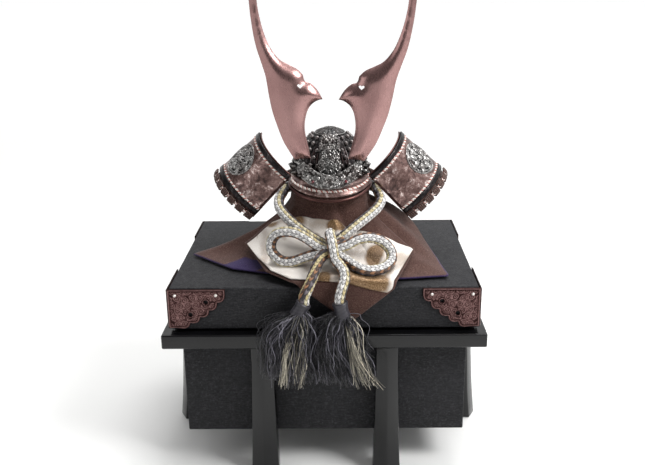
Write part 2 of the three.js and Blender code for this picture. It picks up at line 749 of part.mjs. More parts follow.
function turnBacks() {
  const { length, band, turn, wall } = PANEL;
  const plate = () => panelSheet(0, length, -2, turn, -wall - GAP, 1, 9);
  const leather = () => panelSheet(band, length - band, 0, turn - 2, 0, 1, 9);
  const pieces = [
    { name: "turnback_plate", make: plate, look: finish.darkMetal },
    { name: "turnback_leather", make: leather, look: finish.leather },
    { name: "turnback_crest", make: crest, look: finish.silver },
    { name: "lame_lacing", make: lacing, look: finish.lacing },
  ];
  for (const { name, make, look } of pieces) {
    for (const [side, way] of [["right", 1], ["left", -1]]) {
      const geometry = merge([make()]);
      if (way < 0) flip(geometry.scale(-1, 1, 1));
      const mesh = add(name + "_" + side, geometry, look);
      mesh.position.x = HELMET_X;
    }
  }
}

// ---- neck guard ----

// The y where the lames' front ends stop, just behind the turn-backs.
const lameFront = (r) => -5 + (r - 42.6) * 0.45;

function neckGuard() {
  const inner = BOWL.halfWidth + 0.6;
  const step = (LAMES.outer - inner) / LAMES.count;
  const columns = 18;
  for (let k = 0; k < LAMES.count; k++) {
    const rows = [0, 1].map((row) => {
      const r = inner + step * k + row * (step + 2);
      const z = LAMES.topZ - LAMES.slope * (r - inner) - k * LAMES.lap;
      const deep = r * mix(BOWL.stretch, 1, (r - inner) / (LAMES.outer - inner));
      const start = Math.asin(-lameFront(r) / deep);
      return Array.from({ length: columns + 1 }, (_, i) => {
        const turn = mix(Math.PI + start, -start, i / columns);
        return vec(HELMET_X + r * Math.cos(turn), deep * Math.sin(turn), z);
      });
    });
    add("neck_lame_" + (k + 1), wallOver(rows, LAMES.wall), finish.darkMetal);
  }
}

// ---- chin cord and tassels ----

// The neck loop: from the knot up the left, round behind the post, and down the right to the knot.
const NECK_LOOP = [
  [-5, -87, 260], [-18, -82, 267], [-32, -73, 275], [-43, -61, 282], [-50, -48, 288],
  [-51, -36, 294], [-47, -22, 299], [-46, 0, 297], [-39, 26, 292], [-18, 47, 289],
  [6, 53, 288], [32, 46, 289], [51, 26, 293], [59, 0, 297], [61, -22, 298],
  [64, -35, 293], [60, -46, 287], [50, -58, 281], [36, -72, 274], [22, -84, 266],
];
const BOW_LEFT = [
  [-6, -101, 260], [-18, -99, 268], [-30, -95, 273], [-41, -91, 273], [-51, -87, 269], [-57, -85, 260],
  [-57, -88, 251], [-52, -92, 245], [-44, -96, 241], [-33, -99, 242], [-21, -101, 247], [-9, -102, 251],
];
const BOW_RIGHT = [
  [25, -99, 260], [36, -96, 265], [50, -92, 266], [63, -90, 261], [72, -91, 251], [73, -97, 243],
  [65.6, -108, 238.5], [51.5, -117, 237.5], [38.5, -117, 240], [26, -109, 245.3],
];
const TAIL_LEFT = [
  [-4, -112, 251], [-7, -119, 244], [-11, -128, 236], [-16, -137, 226], [-20, -141, 218], [-20.5, -141, 211.6],
];
const TAIL_RIGHT = [
  [20, -122, 243], [22, -127, 239.5], [22, -133, 233], [19, -139, 225], [17, -141, 217], [17, -141, 211.6],
];
const KNOT_WRAP = [[7, -91, 272], [7, -102, 272], [9, -110, 266], [10.5, -113, 258], [11, -114, 250]];
const KNOT = { x: 9, y: -99, z: 257, wide: 13, deep: 11, high: 11 };

const TASSEL = { head: 8, neck: 7.4, headHigh: 13, long: 84, locks: 5 };

function cordKnot() {
  const { x, y, z, wide, deep, high } = KNOT;
  const core = new THREE.SphereGeometry(1, 10, 6).rotateX(Math.PI / 2);
  core.scale(wide, deep, high).translate(x, y, z);
  return join([core, tube(KNOT_WRAP, CORD, 8, 8)]);
}

// A lock of silk: a bent, flattened taper from the head to its own end.
function lock(from, to, wide) {
  const rings = [];
  const steps = [0, 0.3, 0.8, 1];
  const widths = [0.55, 0.95, 1, 0.35];
  steps.forEach((t, i) => {
    const out = Math.sqrt(t);
    const centre = vec(mix(from.x, to.x, out), mix(from.y, to.y, out), mix(from.z, to.z, t));
    const ring = [];
    for (let k = 0; k < 5; k++) {
      const turn = (-2 * Math.PI * k) / 5;
      const half = wide * widths[i];
      ring.push(centre.clone().add(vec(Math.cos(turn) * half, Math.sin(turn) * half * 0.7, 0)));
    }
    rings.push(ring);
  });
  return loft(rings);
}

function tassel(top, lean, spread) {
  const { head, neck, headHigh, long, locks } = TASSEL;
  const low = top.z - headHigh;
  const lower = [[0, low - 3], [head, low - 3], [head, low + 2], [neck, low + 5]];
  const upper = [[neck, top.z - 1.5], [neck - 2, top.z], [0, top.z]];
  const pieces = [lathe([...lower, ...upper], 10).translate(top.x, top.y, 0)];
  for (let i = 0; i < locks; i++) {
    const turn = (2 * Math.PI * i) / locks;
    const from = vec(top.x + 3.5 * Math.cos(turn), top.y + 3.5 * Math.sin(turn), low);
    const foot = top.z - long + 6 * ((i * 3) % 4) / 3;
    const to = vec(top.x + lean + spread * Math.cos(turn), top.y - 10 + 10 * Math.sin(turn), foot);
    pieces.push(lock(from, to, 8.5));
  }
  pieces.push(lock(vec(top.x, top.y, low), vec(top.x + lean, top.y - 10, top.z - long + 2), 9.5));
  return join(pieces);
}

function chinCord() {
  add("cord_neck_loop", tube(NECK_LOOP, CORD, 8, 26), finish.braid);
  add("cord_bow_left", tube(BOW_LEFT, CORD, 8, 20), finish.braid);
  add("cord_bow_right", tube(BOW_RIGHT, CORD, 8, 18), finish.braid);
  add("cord_knot", cordKnot(), finish.braid);
  add("cord_tail_left", tube(TAIL_LEFT, CORD, 8, 6), finish.braid);
  add("cord_tail_right", tube(TAIL_RIGHT, CORD, 8, 6), finish.braid);
  add("tassel_left", tassel(vec(-20.5, -141, 211), -12, 19), finish.silk);
  add("tassel_right", tassel(vec(17, -141, 211), 8, 23), finish.silk);
}

// ---- the object ----

add("chest_body", chestBody(), finish.chestCloth);
add("chest_rim", chestRim(), finish.lacquer);
add("chest_lid", chestLid(), finish.chestCloth);
chestLegs();
chestFittings();
add("stand_post", post(), finish.wood);
add("cloth_wings", clothWings(), finish.crepe);
add("cloth_flap", clothFlap(), finish.brocade);
add("bowl", bowl(), finish.darkMetal);
add("crown_cap", crownCap(), finish.silver);
add("front_plate", frontPlate(), finish.silver);
add("visor", visorSheet(0, 1, VISOR.wall, 0, 14, 2), finish.leather);
add("visor_edging", visorEdging(), finish.edging);
add("visor_rim", visorRim(), finish.rose);
add("horn_base", hornBase(), finish.silver);
baseStones();
horns();
turnBacks();
neckGuard();
chinCord();

export default object;
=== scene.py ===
import json
import math

import bpy
import numpy as np
from mathutils import Matrix, Vector, noise


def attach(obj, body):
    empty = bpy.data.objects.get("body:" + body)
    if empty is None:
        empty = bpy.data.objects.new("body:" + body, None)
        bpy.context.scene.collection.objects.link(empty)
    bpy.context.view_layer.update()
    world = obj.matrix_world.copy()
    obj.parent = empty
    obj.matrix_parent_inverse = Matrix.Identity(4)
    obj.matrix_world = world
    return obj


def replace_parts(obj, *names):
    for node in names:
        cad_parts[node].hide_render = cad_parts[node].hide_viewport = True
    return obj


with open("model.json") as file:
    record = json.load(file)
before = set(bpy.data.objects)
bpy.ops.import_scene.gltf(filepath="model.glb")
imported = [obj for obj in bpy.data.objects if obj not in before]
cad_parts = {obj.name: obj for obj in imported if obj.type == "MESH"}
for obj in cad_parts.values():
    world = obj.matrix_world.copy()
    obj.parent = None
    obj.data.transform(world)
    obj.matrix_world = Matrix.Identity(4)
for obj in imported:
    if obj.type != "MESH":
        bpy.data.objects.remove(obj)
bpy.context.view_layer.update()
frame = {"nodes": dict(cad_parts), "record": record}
print("frame loaded")

mm = 0.001  # the tables below are in millimetres
helmetX = 6.5
lidTop = 220.0


# ---- camera, lights and floor ----

view = {
    "place": (19.6, -926.6, 544.0),
    "pitch": 18.05,
    "roll": -0.35,
    "lens": 45.63,
    "shift": -0.0301,
}


def makeCamera():
    pitch, roll = math.radians(view["pitch"]), math.radians(view["roll"])
    ahead = Vector((0, math.cos(pitch), -math.sin(pitch)))
    level = Vector((1, 0, 0))
    above = level.cross(ahead)
    right = level * math.cos(roll) + above * math.sin(roll)
    up = above * math.cos(roll) - level * math.sin(roll)
    data = bpy.data.cameras.new("camera")
    data.lens = view["lens"]
    data.shift_x = view["shift"]
    camera = bpy.data.objects.new("camera", data)
    turn = Matrix((right, up, -ahead)).transposed().to_4x4()
    camera.matrix_world = Matrix.Translation(Vector(view["place"]) * mm) @ turn
    bpy.context.collection.objects.link(camera)
    bpy.context.scene.camera = camera


lights = [
    {"name": "keyLight", "place": (1.2, -0.7, 1.5), "aim": (0, 0, 0.25), "size": 0.7, "power": 30},
    {"name": "fillLight", "place": (-1.4, -0.8, 1.0), "aim": (0, 0, 0.25), "size": 1.0, "power": 5},
    {"name": "topLight", "place": (0.2, 0.5, 1.7), "aim": (0, 0, 0.2), "size": 0.9, "power": 16},
]

# the room is paler behind the object than before it
studio = {"front": 0.13, "back": 1.0, "side": 0.42, "strength": 1.0}


def makeLights():
    for row in lights:
        data = bpy.data.lights.new(row["name"], "AREA")
        data.energy = row["power"]
        data.size = row["size"]
        lamp = bpy.data.objects.new(row["name"], data)
        aim = Vector(row["aim"]) - Vector(row["place"])
        lamp.matrix_world = Matrix.Translation(row["place"]) @ aim.to_track_quat("-Z", "Y").to_matrix().to_4x4()
        bpy.context.collection.objects.link(lamp)
    look = Look("studio", "worlds")
    bpy.context.scene.world = look.owner
    way = look.apart(look.add("TexCoord", "Generated"))
    depth = look.plus(look.times(way["Y"], 0.5), 0.5)
    depth = look.plus(depth, look.times(way["Z"], 0.22))
    depth = look.plus(depth, look.times(way["X"], studio["side"]))
    background = look.tree.nodes["Background"]
    look.feed(background.inputs["Color"], look.ramp(depth, (0.3, studio["front"]), (0.78, studio["back"])))
    look.feed(background.inputs["Strength"], studio["strength"])
    bpy.context.scene.view_settings.view_transform = "Standard"


def deselectAll():
    for other in list(bpy.context.selected_objects):
        other.select_set(False)


def focus(piece):
    deselectAll()
    piece.select_set(True)
    bpy.context.view_layer.objects.active = piece


# ---- materials ----

shaderInputs = {
    "rough": "Roughness", "metal": "Metallic", "sheen": "Sheen Weight", "coat": "Coat Weight",
    "coatRough": "Coat Roughness", "specular": "Specular IOR Level", "glow": "Emission Color",
    "glowStrength": "Emission Strength",
}


class Look:
    # a node tree and short ways to add to it; a value is a number, a colour or another node's output
    def __init__(self, name, kind="materials"):
        self.owner = getattr(bpy.data, kind).new(name)
        self.owner.use_nodes = True
        self.tree = self.owner.node_tree

    def feed(self, socket, value):
        if isinstance(value, bpy.types.NodeSocket):
            self.tree.links.new(value, socket)
        elif socket.type == "RGBA":
            socket.default_value = (*value, 1)
        else:
            socket.default_value = value

    def add(self, kind, output, sockets=None, **settings):
        node = self.tree.nodes.new("ShaderNode" + kind)
        for key, value in settings.items():
            setattr(node, key, value)
        for key, value in (sockets or {}).items():
            self.feed(node.inputs[key], value)
        return node.outputs[output]

    def spot(self, stretch=(1, 1, 1), scale=1000):
        sized = [scale * axis for axis in stretch]
        return self.add("Mapping", "Vector", {"Scale": sized, "Vector": self.add("TexCoord", "Object")})

    def uv(self, stretch=(1, 1, 1), turn=0.0):
        laid = self.add("UVMap", "UV", uv_map="UVMap")
        return self.add("Mapping", "Vector", {"Scale": stretch, "Rotation": (0, 0, turn), "Vector": laid})

    def apart(self, vector):
        return self.add("SeparateXYZ", "X", {"Vector": vector}).node.outputs

    def painted(self, name, output="Fac"):
        return self.add("Attribute", output, attribute_name=name)

    def noise(self, spot, scale, detail=4.0, rough=0.55, distort=0.0):
        sockets = {"Vector": spot, "Scale": scale, "Detail": detail, "Roughness": rough, "Distortion": distort}
        return self.add("TexNoise", "Fac", sockets)

    def ramp(self, value, *stops, hard=False):
        result = self.add("ValToRGB", "Color", {"Fac": value})
        ramp = result.node.color_ramp
        ramp.interpolation = "CONSTANT" if hard else "LINEAR"
        while len(ramp.elements) < len(stops):
            ramp.elements.new(0.5)
        for element, (place, colour) in zip(ramp.elements, stops):
            element.position = place
            element.color = (*(colour if isinstance(colour, tuple) else (colour,) * 3), 1)
        return result

    def blend(self, factor, low, high, mode="MIX"):
        return self.add(
            "Mix", "Result", {"Factor": factor, "A": low, "B": high}, data_type="RGBA", blend_type=mode
        )

    def maths(self, kind, first, second=0.0):
        return self.add("Math", "Value", {0: first, 1: second}, operation=kind)

    def plus(self, first, second):
        return self.maths("ADD", first, second)

    def minus(self, first, second):
        return self.maths("SUBTRACT", first, second)

    def times(self, first, second):
        return self.maths("MULTIPLY", first, second)

    def done(self, colour, bump=None, **values):
        shader = self.tree.nodes["Principled BSDF"]
        self.feed(shader.inputs["Base Color"], colour)
        for key, value in values.items():
            self.feed(shader.inputs[shaderInputs[key]], value)
        if bump:
            height, strength, distance = bump
            sockets = {"Strength": strength, "Distance": distance, "Height": height}
            self.feed(shader.inputs["Normal"], self.add("Bump", "Normal", sockets))
        return self.owner


def chestClothFinish():
    look = Look("chestCloth")
    spot = look.spot()
    speck = look.noise(spot, 0.5, 3, 0.7)
    cloud = look.ramp(look.noise(spot, 0.025, 3, 0.5), (0.4, 0), (0.7, 0.4))
    fibre = look.noise(look.spot((0.2, 0.2, 1.2)), 0.9, 2, 0.6)
    colour = look.ramp(
        speck, (0.3, (0.005, 0.005, 0.006)), (0.55, (0.02, 0.02, 0.023)), (0.72, (0.062, 0.063, 0.07))
    )
    colour = look.blend(cloud, colour, (0.021, 0.021, 0.025))
    ribs = look.ramp(fibre, (0.35, 0.005), (0.7, 0.042))
    return look.done(look.blend(0.35, colour, ribs), (speck, 0.7, 0.0006), rough=0.62, specular=0.14)


def lacquerFinish():
    look = Look("blackLacquer")
    spot = look.spot()
    colour = look.ramp(look.noise(spot, 0.02, 3), (0.3, 0.002), (0.7, (0.005, 0.005, 0.006)))
    haze = look.ramp(look.noise(spot, 0.12, 4), (0.35, 0.14), (0.7, 0.26))
    ripple = look.noise(spot, 0.06, 2)
    return look.done(colour, (ripple, 0.1, 0.001), rough=haze, specular=0.3, coat=0.15, coatRough=0.1)


def reliefFinish(name, tones, rough, speckle, tint=None):
    # darker in the hollows, partly the dark patina of the metal and partly painted shade; paler on the ridges,
    # partly wear and partly painted highlight; with specks over both
    look = Look(name)
    spot = look.spot()
    cloud = look.noise(spot, 0.35, 5, 0.65)
    level = look.plus(look.times(look.painted("raised"), 0.74), look.times(look.minus(cloud, 0.25), speckle))
    colour = look.ramp(level, *zip((0.34, 0.58, 0.84, 1.0), tones))
    if tint:
        colour = look.blend(look.ramp(look.noise(spot, 0.06, 3), (0.45, 0), (0.65, 0.5)), colour, tint)
    rough = look.ramp(cloud, (0.3, rough + 0.15), (0.7, rough - 0.08))
    return look.done(colour, (look.noise(spot, 1.1, 3, 0.6), 0.3, 0.0003), rough=rough, metal=0.92)


def roseFinish(name, low, high, rough):
    look = Look(name)
    colour = look.ramp(look.noise(look.spot(), 0.02, 4), (0.3, low), (0.7, high))
    brushed = look.noise(look.spot((1, 1, 0.08)), 1.2, 4)
    rough = look.ramp(brushed, (0.3, rough), (0.7, rough + 0.07))
    return look.done(colour, (brushed, 0.06, 0.0002), rough=rough, metal=0.95)


def darkMetalFinish():
    look = Look("darkMetal")
    cloud = look.noise(look.spot(), 0.3, 5, 0.65)
    dark = look.ramp(
        cloud, (0.35, (0.008, 0.007, 0.0075)), (0.6, (0.03, 0.026, 0.027)), (0.8, (0.16, 0.14, 0.135))
    )
    # rib crests and studs are blended pale: partly wear, partly painted highlight
    wearAndHighlight = look.ramp(look.painted("raised"), (0.75, 0), (1.0, 0.75))
    rough = look.ramp(cloud, (0.3, 0.36), (0.75, 0.22))
    return look.done(look.blend(wearAndHighlight, dark, (0.22, 0.2, 0.195)), (cloud, 0.3, 0.0006), rough=rough, metal=0.9)


def leatherFinish():
    look = Look("mottledLeather")
    spot = look.spot()
    blotch = look.noise(spot, 0.11, 6, 0.72, 0.6)
    fine = look.noise(spot, 0.6, 4, 0.6)
    # the palest tone is partly the pale blotches of the print and partly painted highlight
    tones = [
        (0.38, (0.03, 0.014, 0.012)), (0.47, (0.1, 0.052, 0.045)), (0.55, (0.22, 0.135, 0.12)),
        (0.64, (0.7, 0.58, 0.55))
    ]
    colour = look.ramp(look.plus(look.times(blotch, 0.8), look.times(fine, 0.2)), *tones)
    rough = look.ramp(blotch, (0.35, 0.36), (0.65, 0.2))
    return look.done(colour, (fine, 0.35, 0.0004), rough=rough, metal=0.6, specular=0.7)


def crepeFinish():
    look = Look("brownCrepe")
    spot = look.spot()
    crinkle = look.noise(spot, 0.9, 4, 0.65)
    cloud = look.ramp(look.noise(spot, 0.03, 3), (0.4, 0), (0.7, 0.45))
    brown = look.ramp(
        crinkle, (0.3, (0.03, 0.013, 0.01)), (0.52, (0.08, 0.039, 0.031)), (0.72, (0.19, 0.112, 0.092))
    )
    brown = look.blend(cloud, brown, (0.048, 0.023, 0.018))
    purple = look.ramp(crinkle, (0.3, (0.016, 0.009, 0.04)), (0.7, (0.05, 0.032, 0.11)))
    colour = look.blend(look.painted("lining"), brown, purple)
    return look.done(colour, (crinkle, 0.6, 0.0006), rough=0.9, sheen=0.12, specular=0.2)


def brocadeFinish():
    look = Look("brocade")
    brushed = look.noise(look.uv((2.2, 1.5, 1), 0.5), 1.6, 2.5, 0.45, 0.3)
    weave = look.add("TexWave", "Fac", {"Scale": 95, "Distortion": 0.6, "Vector": look.uv((1, 2.2, 1), 0.4)})
    shimmer = look.noise(look.spot(), 0.8, 4)
    gold = look.ramp(shimmer, (0.35, (0.1, 0.05, 0.02)), (0.56, (0.25, 0.15, 0.07)), (0.78, (0.6, 0.45, 0.3)))
    ivory = look.ramp(weave, (0.2, (0.7, 0.64, 0.58)), (0.8, (0.87, 0.83, 0.79)))
    grain = look.plus(brushed, look.times(look.minus(shimmer, 0.5), 0.3))
    bronzeLevel = look.plus(look.painted("gold"), look.times(look.minus(grain, 0.5), 0.9))
    patch = look.maths("MAXIMUM", look.ramp(grain, (0.5, 0), (0.66, 0.55)), look.ramp(bronzeLevel, (0.36, 0), (0.66, 1)))
    metal = look.ramp(brushed, (0.43, 0), (0.58, 0.6))
    rough = look.ramp(brushed, (0.48, 0.55), (0.56, 0.36))
    return look.done(look.blend(patch, ivory, gold), (weave, 0.25, 0.0003), rough=rough, metal=metal, sheen=0.1)


braid = {
    "diameter": 11.5,
    "around": 32,
    "step": 0.95,
    "pitch": 9.0,  # two stitches along the braid
    "slant": 0.6,
    "columns": 8,
    # the strands of the columns from the white side on, for every other stitch
    "rows": ("wsgdcgpc", "swypkgdk"),
    "tones": {
        "w": (0.76, 0.74, 0.72), "s": (0.5, 0.49, 0.49), "g": (0.5, 0.41, 0.21), "y": (0.64, 0.58, 0.4),
        "c": (0.27, 0.125, 0.055), "k": (0.06, 0.03, 0.02), "d": (0.016, 0.012, 0.017), "p": (0.12, 0.1, 0.115),
    },
}


def braidFinish():
    look = Look("braid")
    around, along = look.apart(look.uv())[:2]
    local = look.maths("ABSOLUTE", look.minus(look.maths("FRACT", look.times(around, braid["columns"])), 0.5))
    run = look.times(along, 20 * braid["step"] / braid["pitch"])
    phase = look.plus(run, look.times(local, 2 * braid["slant"]))
    turnabout = look.maths("GREATER_THAN", look.maths("FRACT", look.times(phase, 0.5)), 0.5)
    first, second = [
        look.ramp(around, *[(i / 8, braid["tones"][tone]) for i, tone in enumerate(row)], hard=True)
        for row in braid["rows"]
    ]
    strand = look.maths("ABSOLUTE", look.maths("SINE", look.times(phase, math.pi)))
    valley = look.times(look.minus(0.5, local), 2.0)
    depth = look.maths("MINIMUM", strand, look.times(valley, 2.4))
    shade = look.ramp(depth, (0.05, 0.08), (0.55, 1.0))
    colour = look.blend(1.0, look.blend(turnabout, first, second), shade, "MULTIPLY")
    fibre = look.noise(look.uv((40, 9, 1), 0.7), 4, 3)
    height = look.plus(depth, look.times(fibre, 0.3))
    return look.done(colour, (height, 0.5, 0.0008), rough=0.5, sheen=0.1, specular=0.5)


def silkFinish():
    look = Look("silk")
    fleck = look.noise(look.spot(), 0.5, 3)
    colour = look.blend(
        look.ramp(fleck, (0.4, 0), (0.7, 0.35)), look.painted("tone", "Color"), (0.02, 0.018, 0.022)
    )
    return look.done(colour, (fleck, 0.2, 0.0003), rough=0.38, sheen=0.05, specular=0.5)


def edgingFinish():
    look = Look("twistedEdging")
    plies = look.ramp(look.apart(look.uv())["X"], (0, (0.8, 0.74, 0.69)), (0.68, (0.4, 0.11, 0.08)), hard=True)
    fibre = look.noise(look.spot(), 1.6, 3)
    colour = look.blend(look.ramp(fibre, (0.4, 0), (0.7, 0.3)), plies, (0.2, 0.13, 0.11))
    return look.done(colour, (fibre, 0.4, 0.0003), rough=0.65, sheen=0.2)


def lacingFinish():
    look = Look("brownLacing")
    fibre = look.noise(look.spot(), 0.9, 4, 0.7)
    colour = look.ramp(fibre, (0.3, (0.028, 0.012, 0.009)), (0.6, (0.095, 0.042, 0.03)), (0.8, (0.22, 0.13, 0.1)))
    return look.done(colour, (fibre, 0.5, 0.0006), rough=0.8, sheen=0.25)


def stoneFinish():
    look = Look("redStone")
    depth = look.noise(look.spot(), 0.6, 3)
    return look.done(
        look.ramp(depth, (0.3, (0.05, 0.002, 0.006)), (0.7, (0.2, 0.012, 0.02))), rough=0.12, coat=0.6
    )


def woodFinish():
    look = Look("postWood")
    grain = look.noise(look.spot((1, 1, 0.06)), 0.5, 5)
    colour = look.ramp(grain, (0.3, (0.3, 0.17, 0.08)), (0.7, (0.52, 0.34, 0.18)))
    return look.done(colour, (grain, 0.2, 0.0004), rough=0.6)


def floorFinish():
    # glows a little far away, so that the floor stays pale there
    look = Look("paleFloor")
    far = look.add("VectorMath", "Value", {0: look.spot(scale=1)}, operation="LENGTH")
    glow = look.ramp(look.times(far, 0.25), (0.18, 0), (0.75, 0.42))
    return look.done((0.86, 0.86, 0.85), rough=0.7, glow=glow, glowStrength=1.0)


# tones from the hollows to the ridges: the darkest is partly patina and partly painted shade, the palest partly
# wear and partly painted highlight
copperTones = [(0.02, 0.008, 0.0075), (0.085, 0.042, 0.04), (0.26, 0.155, 0.148), (0.85, 0.8, 0.76)]
silverTones = [(0.001, 0.001, 0.001), (0.012, 0.011, 0.012), (0.11, 0.106, 0.103), (0.6, 0.585, 0.57)]
finishes = {
    "chest_cloth": chestClothFinish(),
    "black_lacquer": lacquerFinish(),
    "copper_fitting": reliefFinish("copperFitting", copperTones, 0.4, 0.44),
    "post_wood": woodFinish(),
    "brown_crepe": crepeFinish(),
    "brocade": brocadeFinish(),
    "dark_metal": darkMetalFinish(),
    "silver_relief": reliefFinish("silverRelief", silverTones, 0.27, 0.62, (0.05, 0.03, 0.027)),
    "rose_metal": roseFinish("roseMetal", (0.29, 0.165, 0.157), (0.35, 0.21, 0.2), 0.25),
    "rim": roseFinish("copperRim", (0.06, 0.026, 0.023), (0.13, 0.066, 0.06), 0.28),
    "mottled_leather": leatherFinish(),
    "edging_cord": edgingFinish(),
    "red_stone": stoneFinish(),
    "brown_lacing": lacingFinish(),
    "braid": braidFinish(),
    "silk": silkFinish(),
}


def dress(piece, slot, look=None):
    piece.data.materials.clear()
    piece.data.materials.append(finishes[look or slot])
    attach(piece, "root")


# ---- general shaping helpers ----


def allSmooth(piece):
    piece.data.polygons.foreach_set("use_smooth", [True] * len(piece.data.polygons))


def smoothByAngle(piece, degrees):
    focus(piece)
    bpy.ops.object.shade_smooth_by_angle(angle=math.radians(degrees))
    piece.modifiers.clear()


def copyOf(piece, name):
    other = piece.copy()
    other.data = piece.data.copy()
    other.name = other.data.name = name
    bpy.context.collection.objects.link(other)
    return other


def cutWith(piece, tool):
    focus(piece)
    hole = piece.modifiers.new("hole", "BOOLEAN")
    hole.operation = "DIFFERENCE"
    hole.solver = "EXACT"
    hole.object = tool
    bpy.ops.object.modifier_apply(modifier=hole.name)
    bpy.data.objects.remove(tool)


def pieceFrom(name, points, faces, smooth=True):
    mesh = bpy.data.meshes.new(name)
    mesh.from_pydata([tuple(float(c) * mm for c in p) for p in points], [], faces)
    mesh.update()
    piece = bpy.data.objects.new(name, mesh)
    bpy.context.collection.objects.link(piece)
    if smooth:
        allSmooth(piece)
    return piece


def gridFaces(rows, columns, closeAround=False):
    faces = []
    last = columns if closeAround else columns - 1
    for row in range(rows - 1):
        for i in range(last):
            a, b = row * columns + i, row * columns + (i + 1) % columns
            faces.append((a, b, b + columns, a + columns))
    return faces


def paint(piece, name, values):
    layer = piece.data.attributes.new(name, "FLOAT", "POINT")
    layer.data.foreach_set("value", np.asarray(values, dtype=np.float32).ravel())


def paintColour(piece, name, values):
    layer = piece.data.attributes.new(name, "FLOAT_COLOR", "POINT")
    layer.data.foreach_set("color", np.asarray(values, dtype=np.float32).ravel())


def repaint(piece, values):
    layer = piece.data.attributes["raised"].data
    layer.foreach_set("value", np.resize(values, len(layer)).astype(np.float32))


def unwrap(piece, spots):
    layer = piece.data.uv_layers.new(name="UVMap")
    corners = np.empty(len(piece.data.loops), dtype=np.int64)
    piece.data.loops.foreach_get("vertex_index", corners)
    layer.data.foreach_set("uv", np.asarray(spots, dtype=np.float32)[corners].ravel())


def unwrapCorners(piece, spots):
    layer = piece.data.uv_layers.new(name="UVMap")
    layer.data.foreach_set("uv", np.asarray(spots, dtype=np.float32).ravel())


def faceOutward(piece, weld=None):
    # weld first joins the points that are closer than this, in metres
    focus(piece)
    bpy.ops.object.mode_set(mode="EDIT")
    bpy.ops.mesh.select_all(action="SELECT")
    if weld:
        bpy.ops.mesh.remove_doubles(threshold=weld)
    bpy.ops.mesh.normals_make_consistent(inside=False)
    bpy.ops.object.mode_set(mode="OBJECT")


def thicken(piece, wall):
    focus(piece)
    layer = piece.modifiers.new("wall", "SOLIDIFY")
    layer.thickness = wall * mm
    layer.offset = -1.0
    layer.use_even_offset = False
    bpy.ops.object.modifier_apply(modifier=layer.name)


def joinInto(name, parts):
    deselectAll()
    for part in parts:
        part.select_set(True)
    bpy.context.view_layer.objects.active = parts[0]
    if len(parts) > 1:
        bpy.ops.object.join()
    whole = bpy.context.view_layer.objects.active
    whole.name = name
    whole.data.name = name
    return whole


def curvePoints(points, step):
    points = [np.array(p, dtype=float) for p in points]
    ends = [2 * points[0] - points[1], *points, 2 * points[-1] - points[-2]]
    fine = []
    for a, b, c, d in zip(ends, ends[1:], ends[2:], ends[3:]):
        knots = [0.0]
        for p, q in ((a, b), (b, c), (c, d)):
            knots.append(knots[-1] + max(np.linalg.norm(q - p), 1e-6) ** 0.5)
        for t in np.linspace(knots[1], knots[2], 24, endpoint=False):
            ab = a + (b - a) * (t - knots[0]) / (knots[1] - knots[0])
            bc = b + (c - b) * (t - knots[1]) / (knots[2] - knots[1])
            cd = c + (d - c) * (t - knots[2]) / (knots[3] - knots[2])
            abc = ab + (bc - ab) * (t - knots[0]) / (knots[2] - knots[0])
            bcd = bc + (cd - bc) * (t - knots[1]) / (knots[3] - knots[1])
            fine.append(abc + (bcd - abc) * (t - knots[1]) / (knots[2] - knots[1]))
    fine.append(points[-1])
    fine = np.array(fine)
    along = np.concatenate([[0], np.cumsum(np.linalg.norm(np.diff(fine, axis=0), axis=1))])
    count = max(2, int(round(along[-1] / step)) + 1)
    even = np.linspace(0, along[-1], count)
    return np.stack([np.interp(even, along, fine[:, k]) for k in range(3)], axis=1), along[-1]


def framesAlong(path, start=None):
    ahead = np.gradient(path, axis=0)
    ahead /= np.linalg.norm(ahead, axis=1)[:, None]
    side = np.array(start, dtype=float) if start is not None else np.cross(ahead[0], (0, 0, 1.0))
    side = side - ahead[0] * side.dot(ahead[0])
    side /= np.linalg.norm(side)
    sides = []
    for k in range(len(path)):
        side = side - ahead[k] * side.dot(ahead[k])
        side /= np.linalg.norm(side)
        sides.append(side)
    sides = np.array(sides)
    return ahead, sides, np.cross(ahead, sides)


def closedTube(name, path, rings, raised, columns):
    # rings of points closed by a cap at each end; columns holds where each strip of faces lies across the UV map
    rows, around = len(rings), len(columns)
    first, last, base = rows * around, rows * around + 1, (rows - 1) * around
    faces = gridFaces(rows, around, True)
    faces += [(first, (i + 1) % around, i) for i in range(around)]
    faces += [(last, base + i, base + (i + 1) % around) for i in range(around)]
    piece = pieceFrom(name, np.concatenate([*rings, [path[0]], [path[-1]]]), faces)
    spots = []
    for row in range(rows - 1):
        for low, high in columns:
            spots += [(low, row), (high, row), (high, row + 1), (low, row + 1)]
    spots += [(0.1, 0)] * (6 * around)
    unwrapCorners(piece, np.array(spots) * (1, 0.1))
    paint(piece, "raised", np.concatenate([*raised, [0.3, 0.3]]))
    return piece


def tubeMesh(name, path, radii, around, turns=0.0, start=None, bumps=None, hand=1):
    ahead, side, over = framesAlong(path, start)
    rows = len(path)
    share = np.arange(around) / around
    twist = np.linspace(0, turns, rows)
    points, raised = [], []
    for k in range(rows):
        turn = 2 * math.pi * (share + twist[k])
        lift = bumps(share * hand % 1, k) if bumps else np.ones(around)
        ring = path[k] + (
            np.cos(turn)[:, None] * side[k] + np.sin(turn)[:, None] * over[k]
        ) * (radii[k] * (1 + 0.16 * (lift - 0.8)))[:, None]
        points.append(ring)
        raised.append(lift)
    columns = [(i / around, (i + 1) / around) for i in range(around)]
    if hand < 0:
        columns = [(1 - low, 1 - high) for low, high in columns]
    return closedTube(name, path, points, raised, columns)


print("helpers and finishes ready")


# ---- chin cord: the routes of the CAD solids, run on into the knot where their ends are hidden ----

